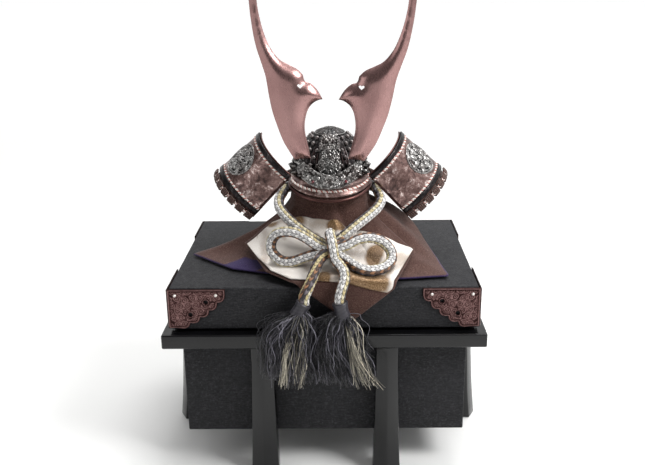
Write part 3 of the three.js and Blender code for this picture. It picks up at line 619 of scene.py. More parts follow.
cordRoutes = {
    "cord_neck_loop": [
        (6, -92, 256), (-5, -87, 260), (-18, -82, 267), (-32, -73, 275), (-43, -61, 282), (-50, -48, 288),
        (-51, -36, 294), (-47, -22, 299), (-46, 0, 297), (-39, 26, 292), (-18, 47, 289),
        (6, 53, 288), (32, 46, 289), (51, 26, 293), (59, 0, 297), (61, -22, 298),
        (64, -35, 293), (60, -46, 287), (50, -58, 281), (36, -72, 274), (22, -84, 266), (11, -90, 259),
    ],
    "cord_bow_left": [
        (6, -103, 256), (-6, -101, 260), (-18, -99, 268), (-30, -95, 273), (-41, -91, 273), (-51, -87, 269),
        (-57, -85, 260), (-57, -88, 251), (-52, -92, 245), (-44, -96, 241), (-33, -99, 242),
        (-21, -101, 247), (-9, -102, 251), (4, -103, 253),
    ],
    "cord_bow_right": [
        (14, -101, 257), (25, -99, 260), (36, -96, 265), (50, -92, 266), (63, -90, 261), (72, -91, 251),
        (73, -97, 243), (65.6, -108, 238.5), (51.5, -117, 237.5), (38.5, -117, 240), (26, -109, 245.3),
        (15, -104, 251),
    ],
    "cord_tail_left": [
        (20, -88, 262), (13, -96, 259), (5, -104, 255), (-3, -111.5, 250), (-7, -119, 244), (-11, -128, 236),
        (-16, -137, 226), (-20, -141, 218), (-20.5, -141, 209.6),
    ],
    "cord_knot": [
        (7, -88, 270), (7, -101, 272.5), (9, -110, 266), (10.5, -113.5, 258), (12, -115.5, 250.5),
        (17, -119.5, 245), (21.5, -126, 240), (22, -133, 233), (19, -139, 225), (17, -141, 217),
        (17, -141, 209.6),
    ],
}


def braidBumps(share, row):
    place = share * braid["columns"]
    local = np.abs(place - np.floor(place) - 0.5)
    phase = row * braid["step"] / braid["pitch"] + local * braid["slant"]
    strand = np.abs(np.sin(math.pi * phase * 2)) ** 0.6
    groove = np.cos(math.pi * local) ** 0.5
    return 0.25 + 0.75 * strand * groove


def braidPiece(name, route, turns, start, hand):
    path, length = curvePoints(route, braid["step"])
    radii = np.full(len(path), braid["diameter"] / 2)
    piece = tubeMesh(name, path, radii, braid["around"], turns, start, braidBumps, hand)
    dress(piece, "braid")
    return piece, path, length


# start is the side that the white strands begin on
cordFacts = {
    "cord_neck_loop": {"far": "object", "turns": -0.05, "start": (0, -0.7, -0.7), "hand": 1, "lay": "loose"},
    "cord_bow_left": {"far": "object", "turns": 0, "start": (0, -0.75, -0.66), "hand": 1, "lay": "loose"},
    "cord_bow_right": {"far": "object", "turns": 0, "start": (0, -0.42, 0.9), "hand": 1, "lay": "loose"},
    "cord_tail_left": {"far": "fitting", "turns": 0.56, "start": (0, -0.3, 1), "hand": 1, "lay": "hanging"},
    "cord_knot": {"far": "fitting", "turns": 0, "start": (-0.87, 0, 0.48), "hand": -1, "lay": "hanging"},
}


# ---- tassels ----

# cream strands: how far to the side at the waist, at the end, how far apart they end, and how many
tassels = {
    "tassel_left": {
        "top": (-20.5, -141, 211), "tilt": 28, "aside": -12, "lean": 1, "spread": 25, "flare": 0.1, "seed": 3,
        "cream": [(-13, -18, 3, 24), (-8, -3, 4, 8), (8, 5, 3, 7)],
    },
    "tassel_right": {
        "top": (17, -141, 211), "tilt": -10, "aside": -13, "lean": 13, "spread": 24, "flare": 0.4, "seed": 8,
        "cream": [(9, 25, 7, 30), (12, 33, 3, 8)],
    },
}

strands = {
    "locks": 72,
    "each": 20,
    "long": 92,
    "thick": 0.46,
    "rings": 20,
    "loose": 0.12,
    "headHigh": 14,
    "headRadius": 8,
    "front": -125.5,  # the strands stay in front of the cloth that hangs there
}


def tasselStrands(name):
    # locks of silk that billow out below the head, each with its own wave, and its strands kinked within it
    row = tassels[name]
    random = np.random.default_rng(row["seed"])
    tilt = math.radians(row["tilt"])
    top = np.array(row["top"]) - np.array([math.sin(tilt), 0, math.cos(tilt)]) * (strands["headHigh"] - 2)
    points, faces, tones = [], [], []
    rings = strands["rings"]
    t = np.linspace(0, 1, rings)
    billow = np.sin(np.clip(t * 2.3, 0, math.pi / 2))
    plan = [(lock, None) for lock in range(strands["locks"]) for _ in range(strands["each"])]
    plan += [(strands["locks"] + i, cream) for i, cream in enumerate(row["cream"]) for _ in range(cream[3])]
    before = -1
    for number, (lock, cream) in enumerate(plan):
        if lock != before:
            before = lock
            turn = 2 * math.pi * lock / strands["locks"] + random.normal(0, 0.25)
            out = row["spread"] * (0.1 + 0.9 * random.uniform(0, 1) ** 0.75)
            long = strands["long"] - strands["headHigh"] - random.uniform(0, 1) ** 1.4 * 28
            wave = random.uniform(1.0, 5.5, 2)
            beat = random.uniform(2.5, 9, 2)
            shift = random.uniform(0, 6.28, 2)
            lockTone = math.exp(random.uniform(-1.2, 1.0))
        loose = random.uniform(0, 1) < strands["loose"]
        start = strands["headRadius"] * 0.85 * math.sqrt(random.uniform(0, 1))
        aim = turn + random.normal(0, 0.14)
        reach = out + random.normal(0, 1.4)
        fall = long - random.uniform(0, 1) ** 2 * 16
        kink = random.uniform(0.3, 1.9, 2) * (1.8 if loose else 1)
        kinkBeat = random.uniform(7, 22, 2)
        kinkShift = random.uniform(0, 6.28, 2)
        thick = strands["thick"] * random.uniform(0.6, 1.2)
        soft = 1
        if cream:
            soft = 0.5
            thick = strands["thick"] * random.uniform(0.8, 1.3)
            fall = strands["long"] - strands["headHigh"] - random.uniform(0, 1) * 12
            tone = np.array([0.6, 0.55, 0.44]) * math.exp(random.uniform(-2.0, 0.4))
            waist = cream[0] + random.normal(0, 1.8)
            x = top[0] + start * math.cos(aim) * (1 - billow) + waist * billow
            x = x + (cream[1] + random.normal(0, cream[2]) - waist) * t ** 2.2
            y = top[1] + start * math.sin(aim) * (1 - billow) - (
                7 + row["spread"] * 0.6 + random.uniform(0, 3)
            ) * billow
        else:
            # a fifth of the dark strands are pale and thicker: painted highlights on the black silk
            shine = random.uniform(0, 1) < 0.2
            tone = np.array([0.0042, 0.004, 0.006]) * lockTone * random.uniform(0.5, 2.0)
            if shine:
                tone = np.array([0.125, 0.12, 0.145]) * math.exp(random.uniform(-1.3, 0.5))
                thick = strands["thick"] * 1.3
            grow = billow * (1 + row["flare"] * t ** 2)
            x = top[0] + start * math.cos(aim) * (1 - billow) + row["aside"] * billow + row["lean"] * t ** 1.6
            x = x + reach * math.cos(aim) * grow
            y = top[1] + start * math.sin(aim) * 0.9 * (1 - billow) + (-6 + 0.6 * reach * math.sin(aim)) * billow
            y = y - (1.5 if shine else 0) * billow
        x = x + soft * wave[0] * (np.sin(beat[0] * t + shift[0]) - math.sin(shift[0])) * t
        y = y + soft * wave[1] * (np.sin(beat[1] * t + shift[1]) - math.sin(shift[1])) * t * 0.7
        near = np.minimum(1, t * 4) * soft
        x = x + kink[0] * (np.sin(kinkBeat[0] * t + kinkShift[0]) - math.sin(kinkShift[0])) * near
        y = y + kink[1] * (np.sin(kinkBeat[1] * t + kinkShift[1]) - math.sin(kinkShift[1])) * near * 0.7
        z = top[2] + start * math.cos(aim) * math.sin(tilt) * (1 - billow) - fall * t ** 1.05
        if loose:
            away = math.copysign(random.uniform(1, 11), math.cos(aim) - 0.2)
            x = x + away * np.sin(math.pi * np.clip(t, 0, 0.75))
            z = z + random.uniform(2, 18) * np.sin(math.pi * t)
        path = np.stack([x, np.minimum(y, strands["front"]), z], axis=1)
        half = thick * (1.1 - 0.5 * t)
        base = len(points)
        for k in range(rings):
            for corner in range(3):
                spin = 2 * math.pi * corner / 3 + number
                points.append(path[k] + np.array([math.cos(spin), math.sin(spin), 0.2 * math.sin(spin)]) * half[k])
                tones.append((*tone, 1))
        for k in range(rings - 1):
            for corner in range(3):
                a, b = base + 3 * k + corner, base + 3 * k + (corner + 1) % 3
                faces.append((a, a + 3, b + 3, b))
        faces.append((base, base + 1, base + 2))
        end = base + 3 * (rings - 1)
        faces.append((end + 2, end + 1, end))
    piece = pieceFrom(name + "_strands", points, faces)
    paintColour(piece, "tone", tones)
    faceOutward(piece)
    return piece


def tasselHead(name):
    top = np.array(tassels[name]["top"], dtype=float)
    tilt = math.radians(tassels[name]["tilt"])
    around, rows = 28, 40
    points, tones = [], []
    for row in range(rows + 1):
        t = row / rows
        bead = 0.3 * abs(math.sin(math.pi * t * 12))
        waist = 8.1 - 0.9 * math.sin(math.pi * min(1, t * 1.15)) ** 2 + bead
        waist *= 1 if 0.04 < t < 0.96 else 0.86
        for i in range(around):
            turn = 2 * math.pi * i / around
            points.append((waist * math.cos(turn), waist * math.sin(turn), 0.6 - (strands["headHigh"] + 3) * t))
            # darker in the grooves between the wrapped rings: painted shade; the last term varies the thread along
            # a spiral
            tone = 0.35 + 0.65 * abs(math.sin(math.pi * t * 12)) + 0.2 * math.sin(i * 0.9 + row * 0.7)
            tones.append((0.034 * tone, 0.031 * tone, 0.042 * tone, 1))
    faces = [face[::-1] for face in gridFaces(rows + 1, around, True)]
    crown = len(points)
    points += [(0, 0, 0.8), (0, 0, -strands["headHigh"] - 2.4)]
    tones += [(0.04, 0.036, 0.048, 1)] * 2
    faces += [(crown, i, (i + 1) % around) for i in range(around)]
    base = rows * around
    faces += [(crown + 1, base + (i + 1) % around, base + i) for i in range(around)]
    piece = pieceFrom(name + "_head", points, faces)
    paintColour(piece, "tone", tones)
    faceOutward(piece)
    piece.data.transform(Matrix.Translation(Vector(top) * mm) @ Matrix.Rotation(tilt, 4, "Y"))
    return piece


def makeTassels():
    made = {}
    for name in tassels:
        piece = joinInto(name + "_silk", [tasselStrands(name), tasselHead(name)])
        dress(piece, "silk")
        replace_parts(piece, name)
        made[name] = piece
    return made


def makeCords(silk):
    for name, facts in cordFacts.items():
        piece, path, length = braidPiece(
            name + "_braid", cordRoutes[name], facts["turns"], facts["start"], facts["hand"]
        )
        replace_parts(piece, *([name, "cord_tail_right"] if name == "cord_knot" else [name]))
        [float(c) * mm for c in path[0]]


makeCamera()
makeLights()
makeCords(makeTassels())
print("chin cord and tassels made")


# ---- cloth: one surface per layer, read by the turn round the post and the way out from it ----

cloth = {
    "wall": 1.5,
    "edge": -122.3,  # where the front of the lid turns the cloth down
    "bend": 3.0,
    "neck": [(0, 362), (14, 359.5), (24.5, 352), (26, 332), (34, 312), (42, 299), (45, 284)],
    "frontNeck": [(46.5, 300), (47.5, 292), (49, 283)],
}

# hem corners: x, y, lift off the lid, straightness of the crest up to the post
wingHem = [
    (124, -22, 3, 1.1), (117, 26, 5, 1.5), (94, 72, 1, 0.7), (38, 90, 0, 0.25), (-32, 84, 0, 0.35),
    (-84, 48, 0, 0.6), (-112, 14, 0, 0.55), (-156, -20, 0, 0.62), (-103, -71, 0, 0.2), (-54, -88, 0, 0.2),
    (60, -104, 0, 0.2), (85, -104, 0, 0.2), (136, -97, 0, 0.35), (124, -22, 3, 1.1),
]
flapHem = [
    (-92, -34, 16, 0.9), (-63, -98, 5, 0.5), (-36, -119, 1, 0.35), (28, -168, 1, 0.3), (75, -129, 1, 0.15),
    (101, -58, 14, 0.8),
]
brocadeTop = [
    (-87, -41), (-62, -28), (-47, -33.8), (-31.9, -42.1), (-12.8, -49.5), (5.8, -54.7), (20, -55.1),
    (26, -55.4), (40, -54.3), (57, -56.5), (77, -60), (98, -60),
]
brocadeHem = [
    (-88, -42), (-73, -74), (-57, -101), (-36, -117.5), (-26, -121), (-8, -125), (0, -126), (28, -129.5),
    (49, -132.5), (70, -135.5), (84, -100), (98.5, -61),
]

# the bronze patches on the brocade: x, share of the way down, width, height, strength
brocadeGold = [
    (-33, 0.06, 15, 0.16, 1.0), (-60, 0.16, 10, 0.16, 0.8), (-77, 0.5, 3, 0.4, 0.6), (-9, 0.3, 7, 0.12, 0.9),
    (14, 0.08, 13, 0.12, 1.0), (56, 0.42, 13, 0.18, 1.1), (44, 0.88, 30, 0.22, 1.2), (64, 0.72, 9, 0.06, -1.0),
    (-1, 0.95, 8, 0.1, 0.9), (-46, 0.42, 9, 0.1, 0.55), (72, 0.2, 3, 0.3, 0.6),
]

# folds: turn at the neck, how far it swings by the hem, width, height, and where along it runs
flapFolds = [
    (-4, 44, 7, 3.4, 0.0, 0.42),
    (8, 40, 6, -4.5, 0.0, 0.4),
    (30, 22, 9, 2.4, 0.02, 0.7),
    (-30, -18, 8, 1.8, 0.0, 0.6),
    (-52, -4, 6, 2.0, 0.0, 0.8),
    (52, -6, 6, 1.8, 0.0, 0.8),
    (12, 10, 8, -1.6, 0.45, 0.9),
    (-14, -12, 9, 1.5, 0.4, 0.95),
]
wingFolds = [
    (-112, 12, 9, 2.6, 0.1, 0.9),
    (-84, 10, 7, -2.2, 0.2, 0.95),
    (-95, 2, 5, 2.2, 0.3, 1.0),
    (80, -10, 6, 3.0, 0.05, 0.9),
    (92, -4, 7, -3.0, 0.1, 0.95),
    (108, 4, 8, 2.2, 0.1, 0.9),
    (66, -4, 6, -2.0, 0.4, 0.98),
    (150, 10, 12, 3.0, 0.0, 0.9),
    (180, 0, 10, -3.0, 0.1, 0.9),
    (-150, -8, 12, 3.0, 0.0, 0.9),
]


def crossing(outline, turn):
    # where a line out from the post at this turn meets an outline, with the outline's other values there
    way = np.array([math.sin(turn), -math.cos(turn)])
    best = None
    for a, b in zip(outline, outline[1:]):
        p, q = np.array(a[:2]) - (helmetX, 0), np.array(b[:2]) - (helmetX, 0)
        side = q - p
        cross = way[0] * side[1] - way[1] * side[0]
        if abs(cross) < 1e-9:
            continue
        reach = (p[0] * side[1] - p[1] * side[0]) / cross
        share = (p[0] * way[1] - p[1] * way[0]) / cross
        if reach > 0 and -1e-6 <= share <= 1 + 1e-6 and (best is None or reach > best[0]):
            others = [a[k] + (b[k] - a[k]) * share for k in range(2, len(a))]
            best = [reach, *others]
    return best


def clothLine(neck, reach, lift, crest, clear):
    foot = lidTop + 2 + clear + lift
    lastR, lastZ = neck[-1]
    middleR = lastR + 8 + ((lastR + reach) / 2 - lastR - 8) * crest
    middleZ = foot + 2 + ((lastZ + foot) / 2 - foot - 2) * crest
    t = np.linspace(0, 1, 60)[1:]
    r = (1 - t) ** 2 * lastR + 2 * t * (1 - t) * middleR + t * t * reach
    z = (1 - t) ** 2 * lastZ + 2 * t * (1 - t) * middleZ + t * t * foot
    r = np.concatenate([[p[0] for p in neck], r])
    z = np.concatenate([[p[1] for p in neck], z])
    along = np.concatenate([[0], np.cumsum(np.hypot(np.diff(r), np.diff(z)))])
    return r, z, along


def overEdge(point):
    x, y, z = point
    over = cloth["edge"] - y
    if over <= 0:
        return point
    bend = cloth["bend"]
    turn = min(over / bend, math.pi / 2)
    y = cloth["edge"] - bend * math.sin(turn)
    z = z - bend * (1 - math.cos(turn)) - max(0.0, over - bend * math.pi / 2)
    return (x, y, z)


def clothGrid(neck, hem, folds, clear, turns, rows, span, seed, ripple):
    # span(turn, reach) gives the first and last way out of each line, or None for the whole line
    points, flats = [], []
    for turn in turns:
        reach, lift, crest = crossing(hem, turn)
        r, z, along = clothLine(neck, reach, lift, crest, clear)
        first, last = span(turn, reach) if span else (r[0], reach)
        start = np.interp(
            first, r[len(neck) - 1:], along[len(neck) - 1:]
        ) if first > neck[-1][0] else np.interp(first, r, along)
        stop = np.interp(min(last, reach), r[len(neck) - 1:], along[len(neck) - 1:])
        ways = np.linspace(start, stop, rows)
        column, flat = [], []
        for way in ways:
            here = np.interp(way, along, r)
            high = np.interp(way, along, z)
            share = way / along[-1]
            lifted = 0.0
            for at, swing, wide, tall, begin, end in folds:
                if not begin - 0.08 < share < end + 0.08:
                    continue
                middle = math.radians(at + swing * share)
                apart = math.atan2(math.sin(turn - middle), math.cos(turn - middle))
                fade = min(1, (share - begin + 0.08) / 0.16, (end + 0.08 - share) / 0.16)
                lifted += tall * fade * math.exp(-((math.degrees(apart) / wide) ** 2))
            spot = Vector((here * math.sin(turn) * 0.028, here * math.cos(turn) * 0.028, high * 0.028 + seed))
            fine = spot * 3.1
            lifted += ripple * (noise.noise(spot) * 2.2 + noise.noise(fine) * 0.7)
            lifted *= 0.35 + 0.65 * min(1, max(0.0, (1.02 - share) / 0.12))
            slope = 0.75 if high < 290 else 0.25
            out = here + lifted * (1 - slope)
            point = (
                helmetX + out * math.sin(turn), -out * math.cos(turn),
                max(high + lifted * slope, lidTop + clear + 1.8)
            )
            column.append(overEdge(point))
            flat.append((way * math.sin(turn) * 0.01, -way * math.cos(turn) * 0.01))
        points.append(column)
        flats.append(flat)
    return np.array(points), np.array(flats)


def clothPiece(name, points, flats, closeAround, wall, lining, gold=None):
    columns, rows = points.shape[:2]
    faces = gridFaces(columns, rows)
    if closeAround:
        for i in range(rows - 1):
            a, b = (columns - 1) * rows + i, i
            faces.append((a, b, b + 1, a + 1))
    faces = [face[::-1] for face in faces]
    piece = pieceFrom(name, points.reshape(-1, 3), faces)
    unwrap(piece, flats.reshape(-1, 2))
    paint(piece, "lining", lining.ravel())
    if gold is not None:
        paint(piece, "gold", gold.ravel())
    thicken(piece, wall)
    return piece


def makeCloth():
    turns = np.linspace(-math.pi, math.pi, 240, endpoint=False)
    points, flats = clothGrid(
        cloth["neck"], wingHem, wingFolds, 0.3, turns, 64, lambda turn, reach: (13.0, reach), 2.0, 0.8
    )
    share = np.linspace(0, 1, 64)[None, :]
    degrees = np.degrees(turns)[:, None]
    lining = np.clip((share - 0.992) * 160, 0, 1) * np.ones_like(degrees)
    lining = np.maximum(lining, ((share > 0.86) & (degrees > -64) & (degrees < -46)).astype(float))
    wings = clothPiece("cloth_wings_crepe", points, flats, True, cloth["wall"], lining)
    dress(wings, "brown_crepe")
    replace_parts(wings, "cloth_wings")

    first, last = math.atan2(-92 - helmetX, 34), math.atan2(101 - helmetX, 58)
    turns = np.linspace(first + 0.004, last - 0.004, 170)
    points, flats = clothGrid(cloth["frontNeck"], flapHem, flapFolds, 2.6, turns, 70, None, 5.0, 0.7)
    lining = np.zeros((170, 70))
    front = clothPiece("cloth_front_crepe", points, flats, False, cloth["wall"], lining)
    dress(front, "brown_crepe")

    def brocadeSpan(turn, reach):
        top = crossing(brocadeTop, turn)
        low = crossing(brocadeHem, turn)
        return (top[0] if top else reach - 2), min(low[0] if low else reach, reach - 0.5)

    turns = np.linspace(math.radians(-66), math.radians(56), 190)
    points, flats = clothGrid(cloth["frontNeck"], flapHem, flapFolds, 4.4, turns, 60, brocadeSpan, 5.0, 0.7)
    points = points + outwardShift(points, 1.2)
    share = np.linspace(0, 1, 60)[None, :]
    gold = np.zeros((190, 60))
    for x, down, wide, high, strength in brocadeGold:
        gold += strength * np.exp(-(((points[:, :, 0] - x) / wide) ** 2) - ((share - down) / high) ** 2)
    brocade = clothPiece("cloth_flap_brocade", points, flats, False, 1.2, np.zeros((190, 60)), gold)
    dress(brocade, "brocade")
    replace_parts(brocade, "cloth_flap")
    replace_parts(front, "cloth_flap")


def outwardShift(points, size):
    across = np.gradient(points, axis=0)
    along = np.gradient(points, axis=1)
    normal = np.cross(along, across)
    length = np.linalg.norm(normal, axis=2)[:, :, None]
    normal = normal / np.maximum(length, 1e-9)
    if normal[:, :, 1].mean() > 0:
        normal = -normal
    return normal * size


makeCloth()
print("cloth draped")


# ---- relief: scrolling vines on a flat plate or a curved surface ----


def scrollHeight(x, y, cell, seed=0.0):
    # height from 0 to 1 of a field of curling tendrils whose curls are one cell apart
    x, y = np.asarray(x, dtype=float), np.asarray(y, dtype=float)
    best = np.zeros_like(x)
    column0, row0 = np.floor(x / cell), np.floor(y / (cell * 0.87))
    for di in (-1, 0, 1):
        for dj in (-1, 0, 1):
            row = row0 + dj
            column = column0 + di
            jitter = np.sin(column * 12.99 + row * 78.23 + seed) * 43758.5
            jitter = jitter - np.floor(jitter)
            cx = (column + 0.5 + 0.5 * (row % 2) + 0.24 * (jitter - 0.5)) * cell
            cy = (row + 0.5 + 0.2 * np.sin(jitter * 9)) * cell * 0.87
            hand = np.where(((column + row) % 2) == 0, 1.0, -1.0)
            dx, dy = x - cx, y - cy
            radius = np.hypot(dx, dy) / cell
            turn = np.arctan2(dy, dx) * hand + jitter * 6.28
            phase = radius * 4.6 - turn / (2 * math.pi)
            ridge = 1 - np.abs((phase - np.floor(phase)) - 0.5) * 2
            ridge = np.clip(ridge * 2.3 - 0.55, 0, 1)
            leaf = np.clip(0.5 + 0.5 * np.cos(3 * turn + radius * 7), 0, 1) ** 3
            inside = np.clip((0.62 - radius) * 7, 0, 1)
            height = np.maximum(ridge, leaf * np.clip((radius - 0.28) * 6, 0, 1)) * inside
            height = np.maximum(height, np.clip(1 - radius * 11, 0, 1))
            best = np.maximum(best, height)
    return best


def nearOutline(x, y, outline):
    # how far inside an outline each place is, in the outline's own unit, negative outside
    points = np.stack([np.ravel(x), np.ravel(y)], axis=1)
    ends = np.array(outline, dtype=float)
    far = np.full(len(points), 1e9)
    inside = np.zeros(len(points), dtype=bool)
    for a, b in zip(ends, np.roll(ends, -1, axis=0)):
        side = b - a
        share = np.clip(((points - a) @ side) / max(side @ side, 1e-12), 0, 1)
        far = np.minimum(far, np.linalg.norm(points - (a + share[:, None] * side), axis=1))
        crosses = ((a[1] > points[:, 1]) != (b[1] > points[:, 1]))
        if abs(b[1] - a[1]) > 1e-12:
            inside ^= crosses & (points[:, 0] < (b[0] - a[0]) * (points[:, 1] - a[1]) / (b[1] - a[1]) + a[0])
    return np.where(inside, far, -far).reshape(np.shape(x))


def netOver(name, outline, cell):
    # a flat sheet with this outline in XZ, cut into a net of small faces
    piece = pieceFrom(name, [(x, 0, z) for x, z in outline], [tuple(range(len(outline)))])
    focus(piece)
    bpy.ops.object.mode_set(mode="EDIT")
    low, high = np.min(outline, axis=0), np.max(outline, axis=0)
    for axis in (0, 1):
        for place in np.arange(low[axis] + cell * 0.6, high[axis] - cell * 0.3, cell):
            spot = (place * mm, 0, 0) if axis == 0 else (0, 0, place * mm)
            bpy.ops.mesh.select_all(action="SELECT")
            bpy.ops.mesh.bisect(plane_co=spot, plane_no=(1, 0, 0) if axis == 0 else (0, 0, 1))
    bpy.ops.mesh.select_all(action="SELECT")
    bpy.ops.mesh.remove_doubles(threshold=cell * 0.06 * mm)
    bpy.ops.object.mode_set(mode="OBJECT")
    return piece


def spotsOf(piece):
    spots = np.empty(len(piece.data.vertices) * 3, dtype=np.float64)
    piece.data.vertices.foreach_get("co", spots)
    return spots.reshape(-1, 3) / mm


def moveTo(piece, spots):
    piece.data.vertices.foreach_set("co", (np.asarray(spots) * mm).ravel())
    piece.data.update()


def sheetOver(name, surface, us, vs, wall):
    # a wall over surface(u, v), with rows along v from the top down and columns to the right
    points = [surface(u, v) for v in vs for u in us]
    piece = pieceFrom(name, points, gridFaces(len(vs), len(us)))
    paint(piece, "raised", np.full(len(points), 0.5))
    thicken(piece, wall)
    faceOutward(piece)
    return piece


def ropePiece(name, points, diameter, step, turns, around=12):
    # a two-ply twisted cord along the points
    path, length = curvePoints(points, step)
    ahead, side, over = framesAlong(path)
    rows = len(path)
    share = np.arange(around) / around
    twist = np.linspace(0, turns * length / 10, rows)
    points, raised = [], []
    for k in range(rows):
        plies = np.abs(np.cos(2 * math.pi * share)) ** 0.8
        turn = 2 * math.pi * (share + twist[k])
        reach = diameter / 2 * (0.66 + 0.34 * plies)
        points.append(
            path[k] + (np.cos(turn)[:, None] * side[k] + np.sin(turn)[:, None] * over[k]) * reach[:, None]
        )
        raised.append(plies)
    lows = [(i / around + 0.25) % 1 for i in range(around)]
    piece = closedTube(name, path, points, raised, [(low, low + 1 / around - 1e-4) for low in lows])
    faceOutward(piece)
    return piece


def wirePiece(name, points, diameter, around=8, step=1.2):
    path = curvePoints(points, step)[0]
    piece = tubeMesh(name, path, np.full(len(path), diameter / 2), around)
    faceOutward(piece)
    return piece


def ballPiece(name, spot, radius, flat=(1, 1, 1), segments=10, rings=6, aim=None):
    deselectAll()
    bpy.ops.mesh.primitive_uv_sphere_add(
        segments=segments, ring_count=rings, radius=radius * mm, location=(0, 0, 0)
    )
    piece = bpy.context.active_object
    piece.name = name
    turn = Vector((0, 0, 1)).rotation_difference(
        Vector(aim)
    ).to_matrix().to_4x4() if aim is not None else Matrix.Identity(4)
    place = Matrix.Translation(Vector([float(c) for c in spot]) * mm) @ turn @ Matrix.Diagonal((*flat, 1))
    piece.data.transform(place)
    allSmooth(piece)
    # raised 1.05 gives every ball the palest relief and dark-metal tones: partly wear, partly painted highlight
    paint(piece, "raised", np.full(len(piece.data.vertices), 1.05))
    return piece


def mirrored(piece, name):
    other = copyOf(piece, name)
    other.data.transform(Matrix.Translation((2 * helmetX * mm, 0, 0)) @ Matrix.Diagonal((-1, 1, 1, 1)))
    other.data.flip_normals()
    return other


# ---- bowl, crown cap and front plate ----

bowlFacts = {
    "base": 316,
    "height": 50,
    "half": 42,
    "stretch": 1.1,
    "wall": 2,
    "ribs": 32,
    "studRows": [(9, 30), (17, 28), (25, 26), (32, 22), (38, 18), (43, 14)],
}


def bowlSpot(up, turn, off=0.0):
    # turn runs from the front to the right
    facts = bowlFacts
    r = facts["half"] * math.sqrt(max(0.0, 1 - (up / facts["height"]) ** 2))
    out = Vector((math.sin(turn) * r, -math.cos(turn) * r * facts["stretch"], 0))
    slope = (facts["half"] / facts["height"]) ** 2 * up
    normal = Vector((math.sin(turn) * r, -math.cos(turn) * r, slope + 1e-6)).normalized()
    spot = out + normal * off + Vector((helmetX, 0, facts["base"] + up))
    return spot, normal


def makeBowl():
    facts = bowlFacts
    around, rows = 192, 26
    points, raised = [], []
    for row in range(rows + 1):
        level = math.pi / 2 * (1 - row / rows)
        up = facts["height"] * math.sin(level * 0.9999)
        for i in range(around):
            turn = 2 * math.pi * i / around
            rib = abs(math.cos(facts["ribs"] * turn / 2)) ** 12
            points.append(bowlSpot(up, turn, 0.9 * rib * math.cos(level) ** 0.5)[0])
            raised.append(rib)
    faces = gridFaces(rows + 1, around, True)
    shell = pieceFrom("bowl_shell", points, faces)
    paint(shell, "raised", raised)
    faceOutward(shell, 0.00005)
    thicken(shell, facts["wall"])
    parts = [shell]
    for row, (up, count) in enumerate(facts["studRows"]):
        for i in range(count):
            turn = 2 * math.pi * (i + 0.5 * (row % 2)) / count
            if math.cos(turn) > 0.965:
                continue
            spot, normal = bowlSpot(up, turn, 1.3)
            parts.append(ballPiece("stud", spot, 2.6, (1, 1, 1), 10, 7, normal))
    bowl = joinInto("bowl_ribbed", parts)
    dress(bowl, "dark_metal")
    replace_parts(bowl, "bowl")


def makeCrownCap():
    rows, around = 34, 128
    profile = [
        (16.2, 362.6), (17.2, 363.3), (16.8, 364.2), (15.2, 364.9), (12.5, 366.2), (9.5, 367.2), (7.4, 367.7),
        (6.9, 368.5),
        (4.6, 368.6), (4.1, 367.6), (2.2, 368.0), (0.05, 368.2),
    ]
    radii = np.interp(np.linspace(0, 1, rows), np.linspace(0, 1, len(profile)), [p[0] for p in profile])
    highs = np.interp(np.linspace(0, 1, rows), np.linspace(0, 1, len(profile)), [p[1] for p in profile])
    points, raised = [], []
    for row in range(rows):
        share = row / (rows - 1)
        for i in range(around):
            turn = 2 * math.pi * i / around
            petal = abs(math.cos(8 * turn + (math.pi / 2 if share > 0.55 else 0))) ** 0.7
            vine = float(scrollHeight(radii[row] * math.cos(turn), radii[row] * math.sin(turn), 6.5, 2))
            lift = (0.6 * petal * (0.4 + 0.6 * vine)) * (1 if 0.12 < share < 0.95 else 0.15)
            r = radii[row] + lift * 0.25
            points.append((helmetX + r * math.cos(turn), r * math.sin(turn) * 1.1, highs[row] + lift))
            raised.append(0.25 + 0.75 * petal * vine if 0.1 < share < 0.97 else 0.8)
    cap = pieceFrom("crown_cap_relief", points, gridFaces(rows, around, True))
    paint(cap, "raised", raised)
    faceOutward(cap, 0.00008)
    thicken(cap, 1.2)
    brim = [
        (helmetX + 16.9 * math.cos(t), 16.9 * 1.1 * math.sin(t), 363.2)
        for t in np.linspace(0, 2 * math.pi, 49)
    ]
    rim = wirePiece("cap_rim", brim, 1.7)
    cap = joinInto("crown_cap_relief", [cap, rim])
    dress(cap, "silver_relief")
    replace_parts(cap, "crown_cap")


plateRows = [(43.5, 7.6), (41, 8.4), (37, 9.4), (31, 10.3), (22, 11), (14, 11), (9, 10.2), (6.5, 7)]


